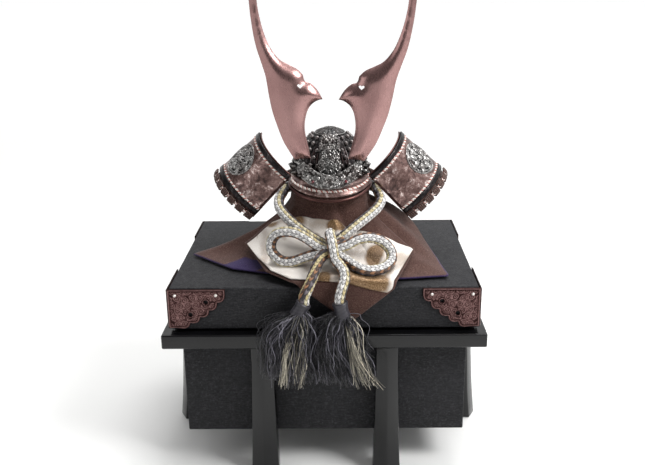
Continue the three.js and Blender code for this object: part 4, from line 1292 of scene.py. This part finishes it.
def makeFrontPlate():
    ups = np.linspace(6.5, 43.5, 62)
    sides = np.linspace(-1, 1, 40)
    halves = np.interp(ups, [row[0] for row in plateRows[::-1]], [row[1] for row in plateRows[::-1]])
    raised = []

    def surface(side, up):
        half = float(np.interp(up, ups, halves))
        r = bowlFacts["half"] * math.sqrt(1 - (up / bowlFacts["height"]) ** 2)
        x, y = side * half, up
        border = 1 - min(1, min(half * (1 - abs(side)), (up - 6.5) * 1.2) / 1.5)
        vine = float(scrollHeight(abs(x) + 2.4, y, 8.4, 1))
        spine = max(0.0, 1 - abs(x) / 1.6) * (0.6 + 0.4 * math.sin(y * 1.1))
        level = max(border * 0.8, vine, spine)
        raised.append(level)
        return bowlSpot(up, side * half / r, 2.6 + 1.4 * (1 - side * side) + 2.6 * level)[0]

    plate = sheetOver("front_plate_relief", surface, sides, ups[::-1], 1.6)
    repaint(plate, raised)
    parts = [plate]
    for up, side, size in ((33, 0, 3.2), (24, -5, 2.3), (24, 5, 2.3), (15, 0, 3.0)):
        r = bowlFacts["half"] * math.sqrt(1 - (up / bowlFacts["height"]) ** 2)
        spot, normal = bowlSpot(up, side / r, 5.8)
        for petal in range(6):
            turn = petal * math.pi / 3
            across = Vector((math.cos(turn), 0, math.sin(turn))) * size * 0.62
            parts.append(ballPiece("petal", Vector(spot) + across, size * 0.42, (1, 1, 0.8), 8, 5, normal))
        parts.append(ballPiece("boss", spot, size * 0.45, (1, 1, 1.2), 8, 6, normal))
    plate = joinInto("front_plate_relief", parts)
    dress(plate, "silver_relief")
    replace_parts(plate, "front_plate")


# ---- visor and horn base ----

visorFacts = {"half": 46, "front": 62, "frontZ": 302, "endZ": 312.5, "arch": 2.5}


def visorSpot(side, share, lift=0.0):
    turn = side * math.pi / 2
    x, y = math.sin(turn), -math.cos(turn)
    close = bowlFacts["half"] + 0.8
    inner = Vector((close * x, close * bowlFacts["stretch"] * y - 0.5, bowlFacts["base"] - 0.5 + 1.5 * y))
    level = visorFacts["endZ"] + (visorFacts["frontZ"] - visorFacts["endZ"]) * -y
    outer = Vector((visorFacts["half"] * x, -14 + (visorFacts["front"] - 14) * y, level))
    arch = visorFacts["arch"] * math.sin(math.pi * share)
    return inner.lerp(outer, share) + Vector((helmetX, 0, lift + arch))


def makeVisor():
    sides = np.linspace(-0.93, 0.93, 90)
    shares = np.linspace(0, 1, 14)
    leather = sheetOver("visor_leather", lambda side, share: visorSpot(side, share, 0.2), sides, shares, 2.0)
    dress(leather, "mottled_leather")
    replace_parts(leather, "visor")
    line = [
        visorSpot(side, 0.8 - 0.62 * max(0.0, abs(side) - 0.82) / 0.12, 2.2)
        for side in np.linspace(-0.92, 0.92, 46)
    ]
    cord = ropePiece("visor_edging_cord", line, 3.4, 0.9, 1.7)
    dress(cord, "edging_cord")
    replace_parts(cord, "visor_edging")
    band = [visorSpot(side, 0.96, 0.9) for side in np.linspace(-0.93, 0.93, 30)]
    dark = wirePiece("visor_dark_band", band, 3.0, 10)
    dress(dark, "dark_metal")
    rim = wirePiece(
        "visor_rim_roll", [visorSpot(side, 1.13, -0.8) for side in np.linspace(-0.95, 0.95, 34)], 3.8, 12
    )
    dress(rim, "rose_metal", "rim")
    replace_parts(rim, "visor_rim")


baseFacts = {
    "spread": 36,
    "level": 308,
    "rows": [
        (-1, 24, 35), (-0.85, 16, 33.5), (-0.6, 10, 28), (-0.35, 7, 22.5), (0, 5.8, 19.5), (0.35, 7, 22.5),
        (0.6, 10, 28),
        (0.85, 16, 33.5), (1, 24, 35),
    ],
}


def baseSpot(side, up, off):
    x = side * baseFacts["spread"]
    y = -60.5 + 13 * side * side + (up - 10) * 0.18
    return Vector((helmetX + x, y - off, baseFacts["level"] + up))


def leafPiece(name, spot, long, wide, turn, off=0.0, bend=0.0):
    # a pointed leaf with a raised midrib, standing in the plane of the base
    deselectAll()
    bpy.ops.mesh.primitive_uv_sphere_add(segments=12, ring_count=12, radius=1, location=(0, 0, 0))
    piece = bpy.context.active_object
    piece.name = name
    spots = np.array([v.co[:] for v in piece.data.vertices])
    t = (spots[:, 2] + 1) / 2
    width = np.sin(math.pi * np.clip(t, 0, 1)) ** 0.8 * (1 - 0.45 * t)
    ring = np.maximum(np.hypot(spots[:, 0], spots[:, 1]), 1e-6)
    angle = np.arctan2(spots[:, 1], spots[:, 0])
    ridge = 1 + 0.25 * np.cos(6 * angle)
    x = np.cos(angle) * width * wide * np.where(ring > 1e-5, 1, 0) * ridge
    y = np.sin(angle) * width * wide * 0.45 * ridge
    z = t * long
    x = x + bend * (t ** 2) * long
    c, s = math.cos(turn), math.sin(turn)
    moved = np.stack([x * c + z * s, y - off, -x * s + z * c], axis=1) + np.array(spot)
    moveTo(piece, moved)
    allSmooth(piece)
    paint(piece, "raised", 0.5 + 0.5 * np.abs(np.cos(angle * 1.5)))
    return piece


def petals(spot, reach, size, flat=(1, 1, 1), start=0.0):
    made = []
    for petal in range(5):
        turn = petal * math.pi * 0.4 + start
        way = Vector((math.cos(turn), 0, math.sin(turn)))
        made.append(ballPiece("petal", spot + way * reach, size, flat, 8, 6))
    return made


def makeHornBase():
    sides = np.linspace(-1, 1, 150)
    lows = np.interp(sides, [r[0] for r in baseFacts["rows"]], [r[1] for r in baseFacts["rows"]])
    highs = np.interp(sides, [r[0] for r in baseFacts["rows"]], [r[2] for r in baseFacts["rows"]])
    shares = np.linspace(1, 0, 38)
    raised = []

    def surface(side, share):
        low, high = float(np.interp(side, sides, lows)), float(np.interp(side, sides, highs))
        up = low + (high - low) * share
        vine = float(scrollHeight(abs(side) * baseFacts["spread"] + 3.2, up - low * 0.6, 8.6, 4))
        border = max(0.0, 1 - share * (high - low) / 2.2, 1 - (1 - share) * (high - low) / 1.4)
        level = max(vine, border)
        raised.append(level)
        return baseSpot(side, up, -0.4 + 3.2 * level)

    plate = sheetOver("horn_base_relief", surface, sides, shares, 2.4)
    repaint(plate, raised)
    parts = [plate]
    parts.append(
        wirePiece(
            "base_roll", [baseSpot(side, low - 0.4, 2.4) for side, low in zip(sides[::4], lows[::4])], 3.0, 10
        )
    )
    parts.append(
        ropePiece(
            "base_bead", [baseSpot(side, low + 2.7, 2.8) for side, low in zip(sides[::4], lows[::4])], 1.5,
            0.7, 2.6, 10
        )
    )
    for way in (-1, 1):
        for side, up, turn, long, wide in (
            (0.96, 29, 0.5, 9, 4.2), (1.0, 26, 1.1, 10, 4.4), (0.97, 22, 1.7, 9, 4.0), (0.86, 31, 0.0, 7, 3.6),
            (0.62, 24, 0.6, 7, 3.4), (0.42, 19, 0.4, 6, 3.0), (0.78, 18, 1.5, 8, 3.2), (0.2, 17, 0.2, 5, 2.6),
        ):
            parts.append(leafPiece("leaf", baseSpot(way * side, up, 2.2), long, wide, way * turn, 0.6, way * 0.12))
        for side, up in ((1.08, 31), (1.13, 25), (1.02, 35)):
            spot = baseSpot(way * side, up, 2.4)
            parts += petals(spot, 2.0, 1.5)
            parts.append(ballPiece("boss", spot - Vector((0, 1.2, 0)), 1.2, (1, 1, 1), 8, 6))
    for side in (-0.78, -0.36, 0, 0.36, 0.78):
        low = float(np.interp(side, sides, lows))
        high = float(np.interp(side, sides, highs))
        middle = baseSpot(side, low + (high - low) * 0.52, 2.4)
        parts += petals(middle, 2.5, 1.7, (1, 0.8, 1), 0.3)
        parts.append(ballPiece("boss", middle - Vector((0, 0.8, 0)), 1.3, (1, 1, 1), 8, 6))
    base = joinInto("horn_base_relief", parts)
    dress(base, "silver_relief")
    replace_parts(base, "horn_base")
    for name, side in (("base_stone_left", -0.5), ("base_stone_right", 0.5)):
        spot = baseSpot(side, 12.5, 4.8)
        stone = ballPiece(name + "_cut", spot, 1.9, (1, 1, 1), 12, 8)
        dress(stone, "red_stone")
        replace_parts(stone, name)


# ---- horns ----

hornFacts = {
    "y": -51,
    "root": 345,
    "lean": 0.03,
    "wall": 2.2,
    "dome": 6.8,
    "reach": 16.0,
    "tilt": 8.0,
    "fall": 3.0,
    "outer": [
        (38, -3), (44, 6), (50.5, 17), (56.5, 32), (62, 48), (66, 66),
        (69.5, 86), (73.5, 99), (80, 119), (84.8, 146), (87, 170), (88, 200),
    ],
    "tip": (84.5, 236),
    "inner": [
        (81.5, 205), (79, 170), (76.8, 153), (72, 134), (65, 117), (55, 104.5), (46, 99.5), (36, 94.6),
        (30, 89)
    ],
    "beak": [(27.5, 82), (22.5, 80.5), (15, 74), (8.5, 63.5)],
    "below": [(13.5, 62.3), (20, 58), (24.3, 51.5), (26.8, 42), (27.4, 32), (25.8, 21.5), (23, 10.5), (20.5, -1)],
    "heart": (32.6, 77.6, 3.1),
}


def hornOutline():
    facts = hornFacts
    beak = [facts["inner"][-1], *facts["beak"]]
    below = [facts["beak"][-1], *facts["below"]]
    line = []
    for run in ([*facts["outer"], facts["tip"]], [facts["tip"], *facts["inner"]], beak, below):
        path = curvePoints([(x, 0, z) for x, z in run], 2.0)[0]
        line += [(p[0], p[2]) for p in path[:-1]]
    line.append(facts["below"][-1])
    return line


def heartPrism():
    cx, cz, size = hornFacts["heart"]
    points = []
    for t in np.linspace(0, 2 * math.pi, 24, endpoint=False):
        x = math.sin(t) ** 3
        z = (13 * math.cos(t) - 5 * math.cos(2 * t) - 2 * math.cos(3 * t) - math.cos(4 * t)) / 16
        points.append((cx + x * size, 0, cz + z * size * 0.85))
    piece = pieceFrom("heart", points, [tuple(range(len(points)))], False)
    focus(piece)
    bpy.ops.object.mode_set(mode="EDIT")
    bpy.ops.mesh.select_all(action="SELECT")
    bpy.ops.mesh.extrude_region_move(TRANSFORM_OT_translate={"value": (0, 0.03, 0)})
    bpy.ops.object.mode_set(mode="OBJECT")
    faceOutward(piece)
    piece.data.transform(Matrix.Translation((0, -0.015, 0)))
    return piece


def makeHorns():
    facts = hornFacts
    outline = hornOutline()
    horn = netOver("horn_right_domed", outline, 2.2)
    spots = spotsOf(horn)
    inside = np.maximum(nearOutline(spots[:, 0], spots[:, 2], outline), 0)
    share = np.clip(inside / facts["reach"], 0, 1)
    edge = np.clip(inside / 2.2, 0, 1)
    swell = facts["dome"] * (1 - (1 - share) ** 2) + 1.3 * (1 - (1 - edge) ** 2)
    # positive where the outer edge is still away
    outside = nearOutline(spots[:, 0] + facts["tilt"], spots[:, 2], outline)
    swell = swell - facts["fall"] * np.clip((9 - outside) / 18, 0, 1) * edge
    spots[:, 1] = -swell
    moveTo(horn, spots)
    allSmooth(horn)
    faceOutward(horn)
    if sum(polygon.normal.y for polygon in horn.data.polygons) > 0:
        horn.data.flip_normals()
    thicken(horn, facts["wall"])
    cutWith(horn, heartPrism())
    smoothByAngle(horn, 40)
    place = Matrix.Translation(
        (helmetX * mm, facts["y"] * mm, facts["root"] * mm)
    ) @ Matrix.Rotation(facts["lean"], 4, "Y")
    other = copyOf(horn, "horn_left_domed")
    other.data.transform(Matrix.Diagonal((-1, 1, 1, 1)))
    other.data.flip_normals()
    for piece, node in ((horn, "horn_right"), (other, "horn_left")):
        piece.data.transform(place)
        dress(piece, "rose_metal")
        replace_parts(piece, node)


# ---- turn-backs ----

panelFacts = {
    "corner": Vector((45.8, -26.5, 320)),
    "along": Vector((0.665, 0.13, -0.735)).normalized(),
    "length": 64,
    "radius": 51.6,
    "flare": 7,
    "turn": 86,
    "innerSlant": 1.6,
    "outerSlant": 7.2,
}
panelFacts["back"] = Vector((0.72, 0, 0.68)).cross(panelFacts["along"]).normalized()
panelFacts["up"] = panelFacts["along"].cross(panelFacts["back"])


def panelSpot(along, turn, off=0.0):
    facts = panelFacts
    radius = facts["radius"] + facts["flare"] * along / facts["length"]
    reach = radius + off
    slant = facts["innerSlant"] + (facts["outerSlant"] - facts["innerSlant"]) * along / facts["length"]
    a = math.radians(turn)
    spot = facts["corner"] + facts["along"] * (along + slant * turn / facts["turn"])
    spot = spot + facts["up"] * reach * math.sin(a) + facts["back"] * (radius - reach * math.cos(a))
    return spot + Vector((helmetX, 0, 0))


def panelMapped(piece):
    # bends a flat piece, laid out in XZ with the front at -Y, over the turn-back: X along, Z round
    spots = spotsOf(piece)
    bent = [panelSpot(x, z / panelFacts["radius"] * 180 / math.pi, -y) for x, y, z in spots]
    moveTo(piece, np.array([list(p) for p in bent]))
    return piece


crestFacts = {"radius": 20.5, "along": 0.5, "turn": 63, "petals": 8}


def makeCrest(name):
    parts = []
    facts = crestFacts
    big = facts["radius"]

    def ring(radius, thick, around=8):
        path = [(radius * math.cos(t), -2.3, radius * math.sin(t)) for t in np.linspace(0, 2 * math.pi, 41)]
        return wirePiece("ring", path, thick, around, 1.3)

    parts += [ring(big - 1.1, 2.2), ring(big - 3.6, 1.1), ring(7.2, 1.3), ring(13.6, 1.0)]
    for i in range(facts["petals"]):
        turn = 2 * math.pi * i / facts["petals"]
        way = Vector((math.cos(turn), 0, math.sin(turn)))
        side = Vector((-way.z, 0, way.x))
        for reach, wide, long, high in ((10.4, 3.6, 3.4, 1.5), (16.2, 3.1, 2.9, 1.4)):
            spot = way * reach + Vector((0, -2.1, 0))
            petal = ballPiece("petal", (0, 0, 0), 1, (wide, high, long), 10, 6)
            petal.data.transform(Matrix.Translation(spot * mm) @ Matrix.Rotation(math.pi / 2 - turn, 4, "Y"))
            parts.append(petal)
        for hand in (-1, 1):
            curl = []
            for step in np.linspace(0, 1, 12):
                spin = hand * (step * 4.6) + turn
                reach = 2.7 * (1 - 0.8 * step)
                middle = way * 17.2 + side * hand * 3.9
                curl.append(middle + Vector((math.cos(spin) * reach, -2.6, math.sin(spin) * reach)))
            parts.append(wirePiece("curl", curl, 1.1, 6, 0.9))
        bud = Vector((math.cos(turn + math.pi / 8), 0, math.sin(turn + math.pi / 8))) * 12.2
        parts.append(ballPiece("bud", bud + Vector((0, -2.3, 0)), 1.3, (1, 1, 1), 8, 6))
    parts.append(ballPiece("hub", (0, -2.4, 0), 3.4, (1, 0.6, 1), 14, 8))
    for i in range(8):
        turn = 2 * math.pi * i / 8
        parts.append(ballPiece("seed", (5.2 * math.cos(turn), -2.7, 5.2 * math.sin(turn)), 1.2, (1, 1, 1), 8, 6))
    crest = joinInto(name, parts)
    crest.data.transform(
        Matrix.Translation(
            (
                facts["along"] * panelFacts["length"] * mm, 0,
                math.radians(facts["turn"]) * panelFacts["radius"] * mm
            )
        )
    )
    return panelMapped(crest)


def makeCrestGround(name):
    # the thick dark disc that the openwork stands on
    around = 48
    middle = crestFacts["along"] * panelFacts["length"]
    high = math.radians(crestFacts["turn"]) * panelFacts["radius"]
    profile = [
        (0.02, -2.3), (0.3, -2.3), (0.6, -2.3), (0.9, -2.3), (0.97, -2.0), (0.99, -1.2), (0.97, -0.5),
        (0.6, -0.5), (0.02, -0.5)
    ]
    points = []
    for share, off in profile:
        for i in range(around):
            spin = 2 * math.pi * i / around
            r = crestFacts["radius"] * share
            points.append((middle + r * math.cos(spin), off, high + r * math.sin(spin)))
    faces = gridFaces(len(profile), around, True)
    faces += [tuple(range(around)), tuple(range(len(points) - around, len(points)))[::-1]]
    disc = pieceFrom(name, points, faces)
    paint(disc, "raised", np.full(len(points), 0.1))
    panelMapped(disc)
    faceOutward(disc)
    return disc


def makeTurnBacks():
    facts = panelFacts
    long, top = facts["length"], facts["turn"]
    turns = np.linspace(top, -2, 60)
    made = []
    plate = sheetOver(
        "turnback_plate_right_iron", lambda a, t: panelSpot(a, t, -1.4), np.linspace(0, long, 50), turns, 1.5
    )
    parts = [plate]
    for along in (3.0, long - 3.0):
        band = sheetOver(
            "band", lambda a, t: panelSpot(a, t, 0.9), np.linspace(along - 2.6, along + 2.6, 5), turns, 2.0
        )
        parts.append(band)
        for turn in (8, 30, 54, 78):
            spot, near = panelSpot(along, turn, 1.0), panelSpot(along, turn, 2.0)
            parts.append(ballPiece("rivet", spot, 1.6, (1, 1, 0.8), 10, 6, near - spot))
    made.append((joinInto("turnback_plate_right_iron", parts), "dark_metal", "turnback_plate_right"))
    leather = sheetOver(
        "turnback_leather_right_print", lambda a, t: panelSpot(a, t, 0.6), np.linspace(5.5, long - 5.5, 60),
        turns[1:-1], 1.6
    )
    made.append((leather, "mottled_leather", "turnback_leather_right"))
    edge = []
    for along in (7.4, long - 7.4):
        line = [panelSpot(along, turn, 1.5) for turn in np.linspace(-1, top - 1, 30)]
        edge.append(ropePiece("edging", line, 3.3, 0.9, 1.7))
    made.append((joinInto("turnback_edging_right", edge), "edging_cord", None))
    rims = []
    for along in (-0.4, long + 0.4):
        rims.append(wirePiece("rim", [panelSpot(along, turn, 0.2) for turn in np.linspace(-2, top, 26)], 1.9, 8))
    for turn in (-2, top):
        rims.append(wirePiece("rim", [panelSpot(along, turn, 0.2) for along in np.linspace(0, long, 16)], 1.9, 8))
    for along in (3.0, long - 3.0):
        for turn in (6, 26, 46, 66, 82):
            spot, near = panelSpot(along, turn, 1.2), panelSpot(along, turn, 2.2)
            rims.append(ballPiece("rivet", spot, 1.7, (1, 1, 0.8), 10, 6, near - spot))
    made.append((joinInto("turnback_rim_right", rims), "rose_metal", None, "rim"))
    made.append((makeCrest("turnback_crest_right_openwork"), "silver_relief", "turnback_crest_right"))
    made.append((makeCrestGround("turnback_crest_ground_right"), "dark_metal", None))
    made.append((makeLacing("lame_lacing_right_knots"), "brown_lacing", "lame_lacing_right"))
    made.append((makeStitches("lame_stitches_right"), "edging_cord", None))
    for piece, slot, node, *look in made:
        other = mirrored(piece, piece.name.replace("right", "left"))
        for each, target in ((piece, node), (other, node.replace("right", "left") if node else None)):
            dress(each, slot, *look)
            if target:
                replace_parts(each, target)


def makeLacing(name):
    facts = panelFacts
    long = facts["length"]
    parts = []
    plate = sheetOver(
        "lame_end", lambda a, t: panelSpot(a, t, -1.8), np.linspace(long + 1, long + 6, 6),
        np.linspace(82, -3, 40), 1.2
    )
    parts.append(plate)
    count = 7
    for i in range(count):
        turn = 3 + 76 * i / (count - 1)
        for shift in (-3.4, -1.15, 1.15, 3.4):
            line = []
            for step in np.linspace(0, 1, 9):
                spin = math.pi * step
                line.append(panelSpot(long + 2.2 + 8.0 * math.sin(spin), turn + shift, 3.0 * math.cos(spin)))
            parts.append(ropePiece("loop", line, 3.0, 1.0, 2.2, 8))
    return joinInto(name, parts)


def makeStitches(name):
    # pale cross stitches in the gaps between the lacing blocks
    long = panelFacts["length"]
    parts = []
    count = 7
    for i in range(count - 1):
        turn = 3 + 76 * (i + 0.5) / (count - 1)
        for hand in (-1, 1):
            line = [panelSpot(long + 5.6 + 2.4 * t, turn + hand * 2.0 * t, 2.2) for t in (-1, -0.4, 0.4, 1)]
            parts.append(ropePiece("stitch", line, 1.5, 0.8, 3, 6))
    return joinInto(name, parts)


makeBowl()
makeCrownCap()
makeFrontPlate()
makeVisor()
makeHornBase()
print("bowl, visor and base made")
makeHorns()
makeTurnBacks()
print("horns and turn-backs made")


# ---- chest: covered box and lid, lacquered rim and six legs ----

chest = {
    "body": (312, 218, 42, 211.7),
    "rim": (350, 260, 153.3, 169.3),
    "lid": (330, 240, 172.5, 220),
    "board": 8,
    "gap": 0.3,
    "legSpread": 68,
    "leg": [
        (0, 15.5, 9, 23, 31), (12, 15, 6.6, 21.6, 29.8), (26, 14.5, 4, 20.2, 28.4), (42, 14, 2, 19, 27),
        (66, 13.5, 0.9, 18, 25.4),
        (90, 13, 0.3, 17, 24), (112, 12.4, 0.3, 15.8, 21.8), (130, 12, 0.3, 15, 20),
        (142, 12, 0.3, 15.9, 19.4), (149, 12, 0.3, 17.2, 19.1),
        (153, 12, 0.3, 18.4, 19),
    ],
}


def boxPiece(name, wide, deep, low, high):
    deselectAll()
    bpy.ops.mesh.primitive_cube_add(size=1, location=(0, 0, 0))
    piece = bpy.context.active_object
    piece.name = piece.data.name = name
    piece.data.transform(
        Matrix.Translation((0, 0, (low + high) / 2 * mm)) @ Matrix.Diagonal(
            (wide * mm, deep * mm, (high - low) * mm, 1)
        )
    )
    return piece


def hollowFrom(piece, wall, depth, above):
    # insets the top or bottom face and pushes it in
    focus(piece)
    bpy.ops.object.mode_set(mode="EDIT")
    bpy.ops.mesh.select_mode(type="FACE")
    bpy.ops.mesh.select_all(action="DESELECT")
    bpy.ops.object.mode_set(mode="OBJECT")
    for polygon in piece.data.polygons:
        polygon.select = polygon.normal.z > 0.5 if above else polygon.normal.z < -0.5
    bpy.ops.object.mode_set(mode="EDIT")
    bpy.ops.mesh.inset(thickness=wall * mm, depth=0)
    bpy.ops.mesh.extrude_region_move(TRANSFORM_OT_translate={"value": (0, 0, (-depth if above else depth) * mm)})
    bpy.ops.object.mode_set(mode="OBJECT")


def softenEdges(piece, size, segments=3, angle=30):
    focus(piece)
    layer = piece.modifiers.new("edges", "BEVEL")
    layer.width = size * mm
    layer.segments = segments
    layer.limit_method = "ANGLE"
    layer.angle_limit = math.radians(angle)
    bpy.ops.object.modifier_apply(modifier=layer.name)
    smoothByAngle(piece, 35)


def legPiece(name, x, y, turn):
    points = []
    for z, half, back, edge, ridge in chest["leg"]:
        points += [(half, -back, z), (-half, -back, z), (-half, -edge, z), (0, -ridge, z), (half, -edge, z)]
    count = len(chest["leg"])
    faces = [face[::-1] for face in gridFaces(count, 5, True)]
    faces += [(4, 3, 2, 1, 0), tuple(range(5 * count - 5, 5 * count))]
    piece = pieceFrom(name, points, faces, False)
    faceOutward(piece)
    piece.data.transform(Matrix.Translation((x * mm, y * mm, 0)) @ Matrix.Rotation(math.radians(turn), 4, "Z"))
    softenEdges(piece, 1.1, 3, 25)
    dress(piece, "black_lacquer")
    return piece


def makeChest():
    facts = chest
    body = boxPiece("chest_body_covered", *facts["body"])
    hollowFrom(body, facts["board"], facts["body"][3] - facts["body"][2] - facts["board"], True)
    softenEdges(body, 1.4)
    dress(body, "chest_cloth")
    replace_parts(body, "chest_body")
    lid = boxPiece("chest_lid_covered", *facts["lid"])
    side = (facts["lid"][0] - facts["body"][0]) / 2 - facts["gap"]
    hollowFrom(lid, side, facts["lid"][3] - facts["lid"][2] - facts["board"], False)
    softenEdges(lid, 1.8, 4)
    dress(lid, "chest_cloth")
    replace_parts(lid, "chest_lid")
    wide, deep, low, high = facts["rim"]
    rim = boxPiece("chest_rim_lacquered", wide, deep, low, high)
    inner = boxPiece(
        "inner", facts["body"][0] + 2 * facts["gap"], facts["body"][1] + 2 * facts["gap"], low - 5, high + 5
    )
    cutWith(rim, inner)
    softenEdges(rim, 1.6, 4)
    dress(rim, "black_lacquer")
    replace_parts(rim, "chest_rim")
    spread, front, edge = facts["legSpread"], facts["body"][1] / 2, facts["body"][0] / 2
    for name, x, y, turn in (
        ("leg_front_left", -spread, -front, 0), ("leg_front_right", spread, -front, 0), ("leg_right", edge, 0, 90),
        ("leg_back_right", spread, front, 180), ("leg_back_left", -spread, front, 180),
        ("leg_left", -edge, 0, 270),
    ):
        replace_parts(legPiece(name + "_ridged", x, y, turn), name)


# ---- corner fittings ----

fitting = {
    "reach": 62,
    "drop": 45,
    "wall": 1.6,
    "relief": 1.2,
    "cell": 8.6,
    "holes": [(41, -15), (24, -29)],
    "rivets": [(8.5, -7), (52, -7)],
}


def fittingOutline():
    start, end = (12, -fitting["drop"]), (fitting["reach"], -6)
    line = [(0, 0)] + [(0, -fitting["drop"] * k / 12) for k in range(1, 13)] + [(6, -fitting["drop"])]
    steps = 5
    for scallop in range(steps):
        for t in np.linspace(0, 1, 7, endpoint=False):
            share = (scallop + t) / steps
            swell = 3.4 * abs(math.sin(math.pi * t)) ** 0.8 + 4 * math.sin(math.pi * share)
            line.append(
                (
                    start[0] + (end[0] - start[0]) * share + swell * 0.62,
                    start[1] + (end[1] - start[1]) * share - swell * 0.78
                )
            )
    line += [end] + [(fitting["reach"] * (1 - k / 14), 0) for k in range(14)]
    return line


def fittingArm(name):
    outline = fittingOutline()
    arm = netOver(name, outline, 0.85)
    spots = spotsOf(arm)
    x, z = spots[:, 0], spots[:, 2]
    inside = np.maximum(nearOutline(x, z, outline), 0)
    border = np.clip(1 - np.abs(inside - 1.3) / 1.2, 0, 1) ** 0.7
    vines = (0.3 + 0.6 * scrollHeight(x + 3, z, fitting["cell"], 7)) * np.clip((inside - 2.2) / 1.2, 0, 1)
    level = np.maximum(border, vines)
    for holeX, holeZ in fitting["holes"]:
        near = np.hypot(x - holeX, z - holeZ)
        level = np.where(near < 4.4, np.clip(1 - np.abs(near - 3.2) / 1.0, 0, 1), level)
    spots[:, 1] = -fitting["wall"] - fitting["relief"] * level
    moveTo(arm, spots)
    paint(arm, "raised", level)
    faceOutward(arm)
    if sum(polygon.normal.y for polygon in arm.data.polygons) > 0:
        arm.data.flip_normals()
    thicken(arm, fitting["wall"])
    for holeX, holeZ in fitting["holes"]:
        deselectAll()
        bpy.ops.mesh.primitive_cylinder_add(
            vertices=20, radius=2.1 * mm, depth=0.02, location=(holeX * mm, 0, holeZ * mm),
            rotation=(math.pi / 2, 0, 0)
        )
        cutWith(arm, bpy.context.active_object)
    return arm


def makeFittings():
    arm = fittingArm("fitting_arm")
    wide, deep, low, high = chest["lid"]
    slip = fitting["wall"] + chest["gap"]
    parts = [arm]
    for x, z in fitting["rivets"]:
        rivet = ballPiece(
            "rivet", (x, -fitting["wall"] - fitting["relief"] * 0.6, z), 1.8, (1, 1, 0.8), 12, 6, (0, -1, 0)
        )
        # raised 2.0 gives the rivets the palest copper tone: a painted highlight
        repaint(rivet, [2.0])
        parts.append(rivet)
    arm = joinInto("fitting_arm", parts)
    arm.data.transform(Matrix.Translation((-slip * mm, -chest["gap"] * mm, 0)))
    other = copyOf(arm, "fitting_arm_turned")
    swap = Matrix(((0, 1, 0, 0), (1, 0, 0, 0), (0, 0, 1, 0), (0, 0, 0, 1)))
    other.data.transform(swap)
    other.data.flip_normals()
    corner = joinInto("corner_fitting", [arm, other])
    for name, x, y in (("front_left", -1, -1), ("front_right", 1, -1), ("back_left", -1, 1), ("back_right", 1, 1)):
        piece = copyOf(corner, "fitting_" + name + "_cast")
        piece.data.transform(Matrix.Diagonal((-x, -y, 1, 1)))
        if x * y < 0:
            piece.data.flip_normals()
        piece.data.transform(Matrix.Translation((x * wide / 2 * mm, y * deep / 2 * mm, (high - 0.5) * mm)))
        dress(piece, "copper_fitting")
        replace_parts(piece, "corner_fitting_" + name)
    bpy.data.objects.remove(corner)


# ---- neck lames and their lacing ----

lames = {"inner": 42.6, "step": 18.85, "wall": 1.6, "loops": 26}


def lameSpot(row, share, out, off=0.0):
    # share runs from one end behind the left turn-back round the back to the right, out from 0 to 1
    first = lames["inner"] + lames["step"] * row
    second = first + lames["step"] + 2
    r = first + (second - first) * out
    past = r - lames["inner"]
    z = bowlFacts["base"] + 1 - 0.55 * past - 2.5 * row + off
    depth = r * (1.1 - 0.1 * past / (4 * lames["step"]))
    start = math.asin((5 - past * 0.45) / depth)
    turn = math.pi + start + (-math.pi - 2 * start) * share
    return Vector((helmetX + r * math.cos(turn), depth * math.sin(turn), z))


def makeLames():
    for row in range(4):
        shares = np.linspace(0, 1, 110)
        sheet = sheetOver(
            "lame_sheet", lambda s, o: lameSpot(row, s, o, 0.1 + 0.35 * math.sin(math.pi * o)), shares,
            np.linspace(0, 1, 8), lames["wall"]
        )
        roll = wirePiece("lame_roll", [lameSpot(row, s, 0.99, 0.5) for s in np.linspace(0, 1, 50)], 2.0, 8)
        lame = joinInto("neck_lame_%d_iron" % (row + 1), [sheet, roll])
        dress(lame, "dark_metal")
        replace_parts(lame, "neck_lame_%d" % (row + 1))
    parts = []
    for row in range(4):
        count = lames["loops"] + 5 * row
        for i in range(count):
            share = (i + 0.5) / count
            line = [
                lameSpot(row, share, out, off)
                for out, off in ((0.2, -0.2), (0.26, 1.5), (0.5, 1.9), (0.76, 1.5), (0.84, -0.2))
            ]
            parts.append(ropePiece("loop", line, 2.6, 1.7, 1.8, 8))
    lacing = joinInto("lame_lacing_back", parts)
    dress(lacing, "brown_lacing")


makeChest()
makeFittings()
makeLames()
print("chest, fittings and lames made")


# ---- size and finish ----

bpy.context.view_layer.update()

floorSize = 24.0
bpy.ops.mesh.primitive_plane_add(size=floorSize, location=(0, 0, -0.0005))
floor = bpy.context.active_object
floor.name = "floor"
floor.data.materials.append(floorFinish())

for name, node in frame["nodes"].items():
    slot = next(row["material_slot"] for row in frame["record"]["subparts"] if row["node"] == name)
    node.data.materials.clear()
    node.data.materials.append(finishes[slot])
